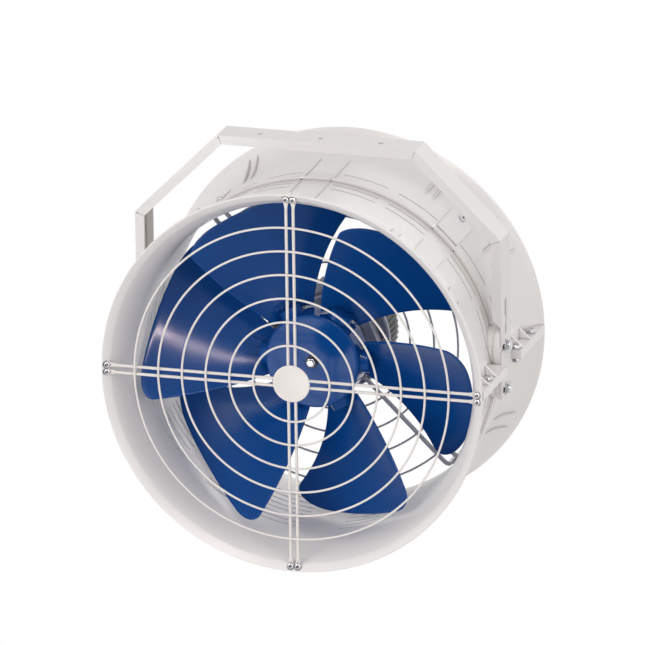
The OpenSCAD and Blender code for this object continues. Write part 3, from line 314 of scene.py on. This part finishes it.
def grown(name, sizes, build):
    """A plain mesh from a Geometry Nodes tree. Sizes are its named inputs, and build makes its nodes."""
    kinds = {int: "Int", float: "Float", bpy.types.Object: "Object", bpy.types.Material: "Material"}
    tree = bpy.data.node_groups.new(name, "GeometryNodeTree")
    tree.interface.new_socket("Geometry", in_out="OUTPUT", socket_type="NodeSocketGeometry")
    inputs = {key: tree.interface.new_socket(key, in_out="INPUT",
                                             socket_type="NodeSocket" + kinds[type(value)])
              for key, value in sizes.items()}
    given = tree.nodes.new("NodeGroupInput")
    shape = build(tree, {key: given.outputs[key] for key in sizes})
    solid = add(tree, "GeometryNodeRealizeInstances", (shape,))
    solid = add(tree, "GeometryNodeSetShadeSmooth", (solid, True, True))
    painted = add(tree, "GeometryNodeSetMaterial", {"Geometry": solid, "Material": given.outputs["Material"]})
    add(tree, "NodeGroupOutput", (painted,))
    holder = placed(name, bpy.data.meshes.new(name))
    modifier = holder.modifiers.new(name, "NODES")
    modifier.node_group = tree
    for key, value in sizes.items():
        modifier[inputs[key].identifier] = value
    made = bpy.data.meshes.new_from_object(holder.evaluated_get(bpy.context.evaluated_depsgraph_get()))
    bpy.data.objects.remove(holder)
    return made


def fasteners(name, kind, seats, material):
    """Copies of one fastener on seats, which are points with the way out of the surface."""
    points = bpy.data.meshes.new(name)
    points.from_pydata([p for p, out in seats], [], [])
    points.attributes.new("out", "FLOAT_VECTOR", "POINT")
    for i, (p, out) in enumerate(seats):
        points.attributes["out"].data[i].vector = out
    carrier = bpy.data.objects.new(name + "_seats", points)
    model = bpy.data.objects.new(name + "_model", kind)

    def build(tree, given):
        places = add(tree, "GeometryNodeObjectInfo", {"Object": given["Seats"]}, out="Geometry")
        screw = add(tree, "GeometryNodeObjectInfo", {"Object": given["Fastener"]}, out="Geometry")
        out = add(tree, "GeometryNodeInputNamedAttribute", {"Name": "out"}, data_type="FLOAT_VECTOR")
        upright = add(tree, "FunctionNodeAlignRotationToVector", {"Vector": out}, axis="Z")
        chance = add(tree, "FunctionNodeRandomValue", {2: 0.0, 3: math.tau, "Seed": given["Seed"]}, out=1,
                     data_type="FLOAT")
        spin = add(tree, "FunctionNodeAxisAngleToRotation", {"Axis": (0, 0, 1), "Angle": chance})
        aimed = add(tree, "FunctionNodeRotateRotation", (upright, spin), rotation_space="LOCAL")
        return add(tree, "GeometryNodeInstanceOnPoints",
                   {"Points": places, "Instance": screw, "Rotation": aimed})

    mesh = grown(name, {"Seats": carrier, "Fastener": model, "Seed": 7, "Material": material}, build)
    bpy.data.objects.remove(carrier)
    bpy.data.objects.remove(model)
    return mesh


def coat(material, *nodes):
    """CAD nodes that are shown as they are, in their finish."""
    for node in nodes:
        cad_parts[node].data.materials.clear()
        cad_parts[node].data.materials.append(material)


def side_seats(height, reach):
    """Seats on both legs of the bracket, which face outwards."""
    return [(Vector((side * reach, 0, height)), Vector((side, 0, 0))) for side in (-1, 1)]


zinc = finish("zinc_plated_steel", ("#C4C5C9", "#D8D8DA"), roughness=0.12,
              grain=0.0008, relief=0.00003, Metallic=1.0)
steel = finish("bright_turned_steel", ("#A4A4A8", "#B2B2B6"), roughness=0.3,
               grain=0.0007, relief=0.00002, Metallic=1.0)
pivot_height, lock_height, leg_face = -0.366, -0.449, 0.346
pivot_washer, lock_washer = 0.0025, 0.0028
piece("pivot_bolt_heads", fasteners("pivot_bolt_heads", hex_head(across=0.018, height=0.008),
                                    side_seats(pivot_height, leg_face + pivot_washer), zinc),
      zinc, "bracket", "bright_steel", "pivot_bolts")
piece("lock_bolt_heads", fasteners("lock_bolt_heads", hex_head(across=0.017, height=0.007),
                                   side_seats(lock_height, leg_face + lock_washer), zinc),
      zinc, "housing", "bright_steel", "lock_bolts")
for node, body in (("pivot_washers", "bracket"), ("lock_washers", "housing")):
    piece(node + "_plated", clean_copy(node, rounding=0.0003), zinc, body, "bright_steel", node)
coat(zinc, "pivot_plate_screws")
coat(steel, "pivot_bushes")

# The drum: two halves moulded in white ABS, a hard plastic with a satin skin that shows the fine
# orange peel of its mould. The plates that carry the pivots are moulded with them.
# Its grooves, seams and creases get painted shade.
abs_white = finish("moulded_white_abs", ("#E4E0DE", "#E8E4E2"), roughness=0.36,
                   grain=0.0022, relief=0.0001, painted_crease_shade=0.6)
for node, rounding in (("front_shell", 0.0005), ("rear_shell", 0.0005), ("pivot_plate_left", 0.0006),
                       ("pivot_plate_right", 0.0006)):
    piece(node + "_moulding", clean_copy(node, rounding), abs_white, "housing", "shell_paint", node)

# The screws in the drum: plated button heads with a hex socket, and hex bolts with nuts on the ears.
# Each is turned to its own angle, as a spanner leaves it.
fan_place = Matrix.Translation((0, 0, fan_height)) @ Matrix.Rotation(math.pi / 2, 4, "X")


def button_head(radius, height):
    """A domed head with a hex socket."""
    side, socket, floor_share = 0.28, radius * 0.38, 0.4
    loops = [round_loop(radius, 0), round_loop(radius, height * side)]
    for i in range(1, 7):
        angle = i * math.pi / 14
        loops.append(round_loop(radius * math.cos(angle), height * (side + (1 - side) * math.sin(angle))))
    loops += [round_loop(radius * 0.5, height), hex_loop(socket, height),
              hex_loop(socket, height * floor_share)]
    return loft(loops)


def ring_seats(places, way):
    """Seats at places in the fan's own frame, whose Z looks forward; way gives a place's way outwards."""
    turned = fan_place.to_3x3()
    return [(fan_place @ Vector(p), turned @ Vector(way(p))) for p in places]


def around(count, start, radius, height, offsets=(0.0,)):
    """Places on a ring about the axis, each shifted sideways by the offsets."""
    places = []
    for i in range(count):
        angle = start + math.tau * i / count
        for offset in offsets:
            places.append((radius * math.cos(angle) - offset * math.sin(angle),
                           radius * math.sin(angle) + offset * math.cos(angle), height))
    return places


eyelet_ring, eyelet_face, spoke_offset = 0.350, 0.2015, 0.00675
joint_ring, joint_face, joint_angles, joint_offset = 0.327, 0.003, (45, 91.5, 135, 225, 271.5, 315), 4.9
rod_bolt_ring, rod_bolt_plane = 0.3252, -0.118
guard_screws = ring_seats(around(4, 0, eyelet_ring, eyelet_face, (-spoke_offset, spoke_offset)),
                          lambda p: (0, 0, 1))
joint_places = [around(1, math.radians(angle + side * joint_offset), joint_ring, joint_face)[0]
                for angle in joint_angles for side in (-1, 1)]
joint_screws = ring_seats(joint_places, lambda p: (0, 0, 1))
rod_screws = ring_seats(around(4, math.radians(45), rod_bolt_ring, rod_bolt_plane),
                        lambda p: (p[0], p[1], 0))
for name, kind, seats, node in (
        ("guard_screw_heads", button_head(radius=0.0062, height=0.005), guard_screws, "front_guard_screws"),
        ("joint_screw_heads", button_head(radius=0.0026, height=0.0018), joint_screws, "joint_screws"),
        ("rod_screw_heads", button_head(radius=0.007, height=0.005), rod_screws, "rod_bolts")):
    piece(name, fasteners(name, kind, seats, zinc), zinc, "housing", "bright_steel", node)
coat(zinc, "joint_nuts")

ear_middle, ear_top, ear_bottom = 0.3495, 0.0125, -0.004
ear_places = [(ear_middle, 0.132), (-ear_middle, 0.054), (-ear_middle, 0.1466)]
ear_places += [(-x, -z) for x, z in ear_places]
ear_heads = [(fan_place @ Vector((x, ear_top, z)), Vector((0, 0, 1))) for x, z in ear_places]
ear_nuts = [(fan_place @ Vector((x, ear_bottom, z)), Vector((0, 0, -1))) for x, z in ear_places]
ear_bolt = hex_head(across=0.016, height=0.007)
ear_nut = hex_head(across=0.016, height=0.008, tip_length=0.002, tip_radius=0.005)
piece("ear_bolt_heads", fasteners("ear_bolt_heads", ear_bolt, ear_heads, zinc), zinc, "housing",
      "bright_steel", "ear_bolts")
piece("ear_nuts_plated", fasteners("ear_nuts_plated", ear_nut, ear_nuts, zinc), zinc, "housing",
      "bright_steel", "ear_nuts")

# The front guard: six rings of 4 mm wire, spot welded on four pairs of 5.5 mm spokes, whose ends are
# pressed flat round the screws. It is dipped in white epoxy, which fills the corners of the welds.
wire_coat = finish("white_epoxy_dip", ("#DED7D3", "#E3DDD9"), roughness=0.3,
                   grain=0.0018, relief=0.00008)
eyelet_radius, eyelet_hole, eyelet_thick, eyelet_neck = 0.0064, 0.0026, 0.0022, 0.019
spoke_wire, spoke_height = 0.00275, 0.2004


def eyelet():
    """The flattened end of a spoke about its screw, with the neck back to the round wire."""
    def outline(height, shrink):
        loop = []
        for i in range(36):
            angle = math.tau * i / 36
            x, y = (eyelet_radius - shrink) * math.cos(angle), (eyelet_radius - shrink) * math.sin(angle)
            if x < 0:
                share = min(1.0, -x / eyelet_radius * 1.15)
                x -= (eyelet_neck - eyelet_radius) * share
                y = math.copysign(abs(y) * (1 - share) + (spoke_wire - shrink) * share, y)
            loop.append((x, y, height))
        return loop

    def hole(height):
        return round_loop(eyelet_hole, height, 36)

    edge, half = 0.0006, eyelet_thick / 2
    return loft([hole(-half), outline(-half, edge), outline(edge - half, 0), outline(half - edge, 0),
                 outline(half, edge), hole(half), hole(-half)], close=False)


def stepped(tree, first, step):
    """The first value and a step more for each index."""
    index = add(tree, "GeometryNodeInputIndex")
    steps = add(tree, "ShaderNodeMath", (index, step), operation="MULTIPLY")
    return add(tree, "ShaderNodeMath", (steps, first), operation="ADD")


def wire_rings(tree, count, radius, wire, resolution):
    """Rings of round wire about the axis, with a radius that follows from their index."""
    size = add(tree, "ShaderNodeCombineXYZ", (radius, radius, radius))
    dots = add(tree, "GeometryNodePoints", {"Count": count})
    circle = add(tree, "GeometryNodeCurvePrimitiveCircle", {"Resolution": resolution, "Radius": 1.0})
    circles = add(tree, "GeometryNodeInstanceOnPoints", {"Points": dots, "Instance": circle, "Scale": size})
    circles = add(tree, "GeometryNodeRealizeInstances", (circles,))
    section = add(tree, "GeometryNodeCurvePrimitiveCircle", {"Resolution": 14, "Radius": wire})
    return add(tree, "GeometryNodeCurveToMesh", {"Curve": circles, "Profile Curve": section})


def turned_about(tree, shape, count, start, turn):
    """Copies of a shape about the axis, a turn apart from the start on."""
    angles = add(tree, "ShaderNodeCombineXYZ", (0.0, 0.0, stepped(tree, start, turn)))
    dots = add(tree, "GeometryNodePoints", {"Count": count})
    return add(tree, "GeometryNodeInstanceOnPoints", {"Points": dots, "Instance": shape, "Rotation": angles})


def joined(tree, *shapes):
    """The shapes as one."""
    whole = add(tree, "GeometryNodeJoinGeometry")
    for shape in shapes:
        tree.links.new(shape, whole.node.inputs[0])
    return whole


def paired(tree, shape, half_gap):
    """A shape on either side of its own line."""
    sides = []
    for sign in (-1.0, 1.0):
        off = add(tree, "ShaderNodeMath", (half_gap, sign), operation="MULTIPLY")
        aside = add(tree, "ShaderNodeCombineXYZ", (0.0, off, 0.0))
        sides.append(add(tree, "GeometryNodeTransform", {"Geometry": shape, "Translation": aside}))
    return joined(tree, *sides)


def guard_build(tree, given):
    """Rings on four pairs of spokes, with a bead of weld at each crossing and an eyelet at each end."""
    radius = stepped(tree, given["First ring"], given["Ring step"])
    rings = wire_rings(tree, given["Rings"], radius, given["Ring wire"], 180)
    lift = add(tree, "ShaderNodeCombineXYZ", (0.0, 0.0, given["Ring lift"]))
    rings = add(tree, "GeometryNodeTransform", {"Geometry": rings, "Translation": lift})

    start = add(tree, "ShaderNodeCombineXYZ", (given["Spoke start"], 0.0, 0.0))
    end = add(tree, "ShaderNodeCombineXYZ", (given["Spoke end"], 0.0, 0.0))
    line = add(tree, "GeometryNodeCurvePrimitiveLine", {"Start": start, "End": end})
    section = add(tree, "GeometryNodeCurvePrimitiveCircle", {"Resolution": 16, "Radius": given["Spoke wire"]})
    spoke = add(tree, "GeometryNodeCurveToMesh", {"Curve": line, "Profile Curve": section, "Fill Caps": True})
    first = add(tree, "ShaderNodeCombineXYZ", (given["First ring"], 0.0, given["Weld height"]))
    step = add(tree, "ShaderNodeCombineXYZ", (given["Ring step"], 0.0, 0.0))
    crossings = add(tree, "GeometryNodeMeshLine",
                    {"Count": given["Rings"], "Start Location": first, "Offset": step})
    # The epoxy draws each bead out into a low drop.
    bead = add(tree, "GeometryNodeMeshUVSphere", {"Segments": 12, "Rings": 8, "Radius": given["Weld"]})
    bead = add(tree, "GeometryNodeTransform", {"Geometry": bead, "Scale": (1.0, 1.1, 0.55)})
    welds = add(tree, "GeometryNodeInstanceOnPoints", {"Points": crossings, "Instance": bead})
    flat_end = add(tree, "GeometryNodeObjectInfo", {"Object": given["Eyelet"]}, out="Geometry")
    centre = add(tree, "ShaderNodeCombineXYZ", (given["Eyelet place"], 0.0, 0.0))
    flat_end = add(tree, "GeometryNodeTransform", {"Geometry": flat_end, "Translation": centre})
    arms = paired(tree, joined(tree, spoke, welds, flat_end), given["Half gap"])
    return joined(tree, rings, turned_about(tree, arms, 4, 0.0, math.pi / 2))


eyelet_model = bpy.data.objects.new("eyelet", eyelet())
guard = grown("front_guard", {
    "First ring": 0.0724, "Ring step": 0.0449, "Rings": 6, "Ring wire": 0.002, "Ring lift": 0.00435,
    "Spoke start": 0.012, "Spoke end": 0.333, "Spoke wire": spoke_wire, "Half gap": spoke_offset,
    "Weld": 0.0026, "Weld height": 0.0025, "Eyelet": eyelet_model, "Eyelet place": eyelet_ring,
    "Material": wire_coat}, guard_build)
bpy.data.objects.remove(eyelet_model)
guard.transform(fan_place @ Matrix.Translation((0, 0, spoke_height)))
piece("front_guard_wires", guard, wire_coat, "housing", "wire_paint", "front_guard")


# The disc in the middle of the guard: thin sheet steel, pressed with a rolled edge and a low rim.
# It is welded on the spokes and dipped with the guard.
def turned_mesh(profile, count=96):
    """A closed shape turned about the axis from its outline of radius and height."""
    bm = bmesh.new()
    rows = []
    for radius, height in profile:
        rows.append([bm.verts.new((0, 0, height))] if radius == 0 else
                    [bm.verts.new(p) for p in round_loop(radius, height, count)])
    for low, high in zip(rows, rows[1:]):
        for i in range(count):
            j = (i + 1) % count
            corners = [low[i % len(low)], low[j % len(low)], high[j % len(high)], high[i % len(high)]]
            corners = [v for k, v in enumerate(corners) if v not in corners[:k]]
            if len(corners) > 2:
                bm.faces.new(corners)
    mesh = bpy.data.meshes.new("turned")
    bm.to_mesh(mesh)
    bm.free()
    mesh.shade_smooth()
    mesh.set_sharp_from_angle(angle=math.radians(40))
    return mesh


disc_radius, disc_thick, disc_back, disc_dip, roll = 0.035, 0.002, 0.20315, 0.0004, 0.001
disc_profile = [(0, 0), (disc_radius - 0.0008, 0)]
for angle in [math.pi * i / 6 for i in range(1, 7)]:
    disc_profile.append((disc_radius - roll + roll * math.sin(angle), roll - roll * math.cos(angle)))
disc_profile += [(disc_radius - 0.0035, disc_thick), (disc_radius - 0.0055, disc_thick - disc_dip),
                 (0, disc_thick - disc_dip)]
disc = turned_mesh(disc_profile)
disc.transform(fan_place @ Matrix.Translation((0, 0, disc_back)))
piece("guard_centre", disc, wire_coat, "housing", "wire_paint", "guard_centre_disc")

# The motor carrier: four pairs of 8.5 mm rods, bent to the rear at the drum, and four rings of wire
# behind them that keep hands out. All are steel in a satin grey epoxy coat. The tabs at the rods'
# ends are bolted to the drum over washers of matt black rubber.
grey_coat = finish("grey_epoxy_coat", ("#D2D0D5", "#DCDADE"), roughness=0.34,
                   grain=0.0018, relief=0.00008)
rod_radius, rod_inner, rod_reach, rod_plane, rod_end = 0.00425, 0.078, 0.312, -0.072, -0.130
rear_wire = 0.002
path = bpy.data.meshes.new("rod_path")
path.from_pydata([(rod_inner, 0, rod_plane), (rod_reach, 0, rod_plane), (rod_reach, 0, rod_end)],
                 [(0, 1), (1, 2)], [])
path = bpy.data.objects.new("rod_path", path)


def rods_build(tree, given):
    """Four pairs of rods along the given path, with round bends."""
    bent = add(tree, "GeometryNodeObjectInfo", {"Object": given["Path"]}, out="Geometry")
    bent = add(tree, "GeometryNodeMeshToCurve", (bent,))
    bent = add(tree, "GeometryNodeFilletCurve", {"Curve": bent, "Count": 10, "Radius": given["Bend"]},
               mode="POLY")
    section = add(tree, "GeometryNodeCurvePrimitiveCircle", {"Resolution": 20, "Radius": given["Rod"]})
    rod = add(tree, "GeometryNodeCurveToMesh", {"Curve": bent, "Profile Curve": section, "Fill Caps": True})
    return turned_about(tree, paired(tree, rod, given["Half gap"]), 4, math.pi / 4, math.pi / 2)


rods = grown("motor_rods", {"Path": path, "Bend": 0.012, "Rod": rod_radius, "Half gap": 0.012,
                            "Material": grey_coat}, rods_build)
bpy.data.objects.remove(path)
rods.transform(fan_place)
piece("motor_rods", rods, grey_coat, "housing", "grey_steel", "support_rods")


def rear_rings_build(tree, given):
    """Three evenly spaced rings of wire, and a fourth of its own radius outside them."""
    radius = stepped(tree, given["First ring"], given["Ring step"])
    index = add(tree, "GeometryNodeInputIndex")
    outer = add(tree, "ShaderNodeMath", (index, 2.5), operation="GREATER_THAN")
    radius = add(tree, "ShaderNodeMix", {0: outer, 2: radius, 3: given["Last ring"]})
    return wire_rings(tree, 4, radius, given["Ring wire"], 160)


rear_rings = grown("rear_rings", {"First ring": 0.141, "Ring step": 0.0455, "Last ring": 0.2835,
                                  "Ring wire": rear_wire, "Material": grey_coat}, rear_rings_build)
rear_rings.transform(fan_place @ Matrix.Translation((0, 0, rod_plane - rod_radius - rear_wire)))
piece("rear_rings", rear_rings, grey_coat, "housing", "grey_steel", "rear_guard_rings")
piece("rod_tabs_coated", clean_copy("rod_tabs", rounding=0.0004), grey_coat, "housing", "grey_steel",
      "rod_tabs")
rubber = finish("black_nitrile_rubber", ("#1A1A1C", "#242427"), roughness=0.62,
                grain=0.0009, relief=0.00008)
piece("rod_rubbers", clean_copy("rod_washers", rounding=0.0005), rubber, "housing", "black_rubber",
      "rod_washers")
coat(zinc, "rod_nuts")

# The motor: cast aluminium end shields, left as cast under a thin clear coat, which look soft and
# silvery, on a body with cooling fins in dark satin enamel, like its terminal box.
cast = finish("cast_aluminium", ("#A6A7B2", "#B4B5C0"), roughness=0.4,
              grain=0.0011, relief=0.0002, Metallic=0.55)
enamel = finish("dark_grey_enamel", ("#2A2B2E", "#323336"), roughness=0.4,
                grain=0.0016, relief=0.0001)
for node, material, slot in (
        ("motor_pan", cast, "cast_aluminium"), ("front_end_shield", cast, "cast_aluminium"),
        ("rear_end_shield", cast, "cast_aluminium"), ("motor_body", enamel, "motor_paint"),
        ("terminal_box", enamel, "motor_paint"), ("terminal_box_lid", enamel, "motor_paint"),
        ("cable_gland", rubber, "black_rubber")):
    piece(node + "_finished", clean_copy(node, rounding=0.0005), material, "housing", slot, node)
coat(zinc, "motor_pan_screws", "shield_screws", "lid_screws")

# Inside the motor: a stack of steel sheets with windings of varnished copper at its ends, and the
# rotor on a turned steel shaft that runs in two ball bearings. The varnish has a warm brown shine.
copper = finish("varnished_copper", ("#9A5528", "#B4682F"), roughness=0.35,
                grain=0.0012, relief=0.0002, Metallic=0.8)
coat(copper, "stator_windings")
coat(steel, "stator_core", "front_bearing", "rear_bearing", "motor_shaft", "rotor_core", "shaft_key")

# The adapter on the motor shaft: turned aluminium, polished on the lathe, so that it mirrors the blue
# blades in fine rings. The hub is bolted to its flange.
polished = finish("turned_aluminium", ("#F0F2F6", "#F6F7FA"), roughness=0.24,
                  grain=0.0007, relief=0.00002, Metallic=0.8)
piece("hub_adapter_turned", clean_copy("hub_adapter", rounding=0.0005), polished, "fan_wheel",
      "cast_aluminium", "hub_adapter")

# The hub: two discs bolted together round the blade roots, moulded in deep blue glass-filled nylon
# with a polished skin that mirrors the guard. A plated hex bolt over a dark washer holds it.
blue = finish("moulded_blue_nylon", ("#083F82", "#0A488E"), roughness=0.15,
              grain=0.006, relief=0.0001, **{"Specular IOR Level": 0.2})
for node in ("hub_front_plate", "hub_rear_plate"):
    piece(node + "_moulding", clean_copy(node, rounding=0.0006), blue, "fan_wheel", "wheel_plastic", node)
washer_face = -0.077
piece("centre_bolt_head", fasteners("centre_bolt_head", hex_head(across=0.016, height=0.007),
                                    [(Vector((0, washer_face, fan_height)), Vector((0, -1, 0)))], zinc),
      zinc, "fan_wheel", "bright_steel", "centre_bolt")
piece("centre_washer_plated", clean_copy("centre_washer", rounding=0.0004), enamel, "fan_wheel",
      "motor_paint", "centre_washer")
coat(zinc, "hub_bolts")

# The blades: six of the same blue nylon, moulded one by one. Each is wide and swept at the tip,
# hollow towards the air it throws, and thinner at the tip than at its round root.
hub_radius, tip_radius, blade_start = 0.0885, 0.314, 0.091
root_depth, root_radius, root_inner, root_end = 0.0442, 0.022, 0.046, 0.103
mm = 0.001
# The edges' degrees round the axis and millimetres ahead of the root: at the hub, and the tip's share.
front_turn, front_ahead = (22.8, -9.9), (7.5, 117.5)
rear_turn, rear_ahead = (-22, -23.5), (-27.5, -37.3)
# Millimetres at the root and at the far end.
hollow_depth, blade_thick, rib_thick, rib_height = (8, 30), (5, 3), (3, 1.2), (2.2, 0.1)
tip_bow, front_corner, rear_corner = 8 * mm, 28 * mm, 45 * mm
front_corner_share, rear_corner_share, edge_share = 0.16, 0.3, 0.35
rib_places, rib_reach, rib_crest, nearby = (0.36, 0.5, 0.64), 0.24, 0.6, 0.01


def mix(a, b, share):
    """The value at a share of the way from a to b."""
    return a + (b - a) * share


def corner(size, share):
    """How much a round corner takes off the tip at a share of its width."""
    return 0 if share >= 1 else size * (1 - math.sqrt(1 - (1 - share) ** 2))


def blade_point(u, v):
    """The middle of the blade: u runs from the front edge to the rear edge, v from root to tip."""
    bow = 4 * u * (1 - u)
    tip = (tip_radius - tip_bow * bow - corner(front_corner, u / front_corner_share)
           - corner(rear_corner, (1 - u) / rear_corner_share))
    r = mix(blade_start, tip, v)
    s = (r - hub_radius) / (tip_radius - hub_radius)
    angle = math.radians(mix(front_turn[0] + front_turn[1] * s, rear_turn[0] + rear_turn[1] * s, u))
    ahead = mix(front_ahead[0] + front_ahead[1] * s, rear_ahead[0] + rear_ahead[1] * s, u) * mm
    hollow = mix(*hollow_depth, s) * mm * bow
    return Vector((r * math.cos(angle), r * math.sin(angle), root_depth + ahead - hollow))


def blade_rib(bm, u, steps=10):
    """A slender rib on the front of the blade, which runs out from the root and fades."""
    sections = []
    for k in range(steps + 1):
        v = rib_reach * k / steps
        p = blade_point(u, v)
        aside = (blade_point(u + nearby, v) - blade_point(u - nearby, v)).normalized()
        out = aside.cross(blade_point(u, v + nearby) - p).normalized()
        if out.z < 0:
            out = -out
        face, half = mix(*blade_thick, v) * mm / 2, mix(*rib_thick, k / steps) * mm / 2
        height = mix(*rib_height, (k / steps) ** 2) * mm
        sections.append([bm.verts.new(p + half * wide * aside + (face + up) * out)
                         for wide, up in ((-1, -mm), (-rib_crest, height), (rib_crest, height), (1, -mm))])
    for near, far in zip(sections, sections[1:]):
        for i in range(4):
            bm.faces.new((near[i], near[(i + 1) % 4], far[(i + 1) % 4], far[i]))
    bm.faces.new(sections[0])
    bm.faces.new(sections[-1][::-1])


def blade_mesh(cols=36, rows=26):
    """One blade: a skin on each side of the middle, closed round its edge, and its ribs."""
    bm = bmesh.new()
    skins = []
    for face in (-1, 1):
        skin = []
        for j in range(rows + 1):
            row = []
            for i in range(cols + 1):
                u, v = (1 - math.cos(math.pi * i / cols)) / 2, j / rows
                p = blade_point(u, v)
                du = blade_point(min(u + nearby, 1), v) - blade_point(max(u - nearby, 0), v)
                dv = blade_point(u, min(v + nearby, 1)) - blade_point(u, max(v - nearby, 0))
                thick = mix(*blade_thick, v) * mm * (edge_share if i in (0, cols) else 1)
                row.append(bm.verts.new(p + face * thick / 2 * du.cross(dv).normalized()))
            skin.append(row)
        skins.append(skin)
    for face, skin in enumerate(skins):
        for j in range(rows):
            for i in range(cols):
                quad = [skin[j][i], skin[j][i + 1], skin[j + 1][i + 1], skin[j + 1][i]]
                bm.faces.new(quad if face else quad[::-1])
    low, high = skins
    rim = [(0, i) for i in range(cols)] + [(j, cols) for j in range(rows)]
    rim += [(rows, i) for i in range(cols, 0, -1)] + [(j, 0) for j in range(rows, 0, -1)]
    for (j, i), (n, k) in zip(rim, rim[1:] + rim[:1]):
        bm.faces.new((low[j][i], low[n][k], high[n][k], high[j][i]))
    for u in rib_places:
        blade_rib(bm, u)
    bmesh.ops.recalc_face_normals(bm, faces=bm.faces)
    mesh = bpy.data.meshes.new("blade")
    bm.to_mesh(mesh)
    bm.free()
    return mesh


def root_mesh():
    """The round root of a blade, which the two hub plates clamp."""
    edge, length = 0.0012, root_end - root_inner
    root = turned_mesh([(0, 0), (root_radius - edge, 0), (root_radius, edge), (root_radius, length - edge),
                        (root_radius - edge, length), (0, length)], 64)
    root.transform(Matrix.Translation((root_inner, 0, root_depth)) @ Matrix.Rotation(math.pi / 2, 4, "Y"))
    return root


def wheel_build(tree, given):
    """The blades and their roots, evenly set about the shaft."""
    blade = add(tree, "GeometryNodeObjectInfo", {"Object": given["Blade"]}, out="Geometry")
    root = add(tree, "GeometryNodeObjectInfo", {"Object": given["Root"]}, out="Geometry")
    blade = add(tree, "GeometryNodeSubdivisionSurface", {"Mesh": blade, "Level": 1})
    turn = add(tree, "ShaderNodeMath", (math.tau, given["Blades"]), operation="DIVIDE")
    return turned_about(tree, joined(tree, blade, root), given["Blades"], 0.0, turn)


blade_model = bpy.data.objects.new("blade", blade_mesh())
root_model = bpy.data.objects.new("root", root_mesh())
blades = grown("fan_blades", {"Blade": blade_model, "Root": root_model, "Blades": 6, "Material": blue},
               wheel_build)
bpy.data.objects.remove(blade_model)
bpy.data.objects.remove(root_model)
blades.transform(fan_place)
blades.set_sharp_from_angle(angle=math.radians(50))
piece("fan_blades", blades, blue, "fan_wheel", "wheel_plastic", *["blade_%d" % i for i in range(1, 7)])
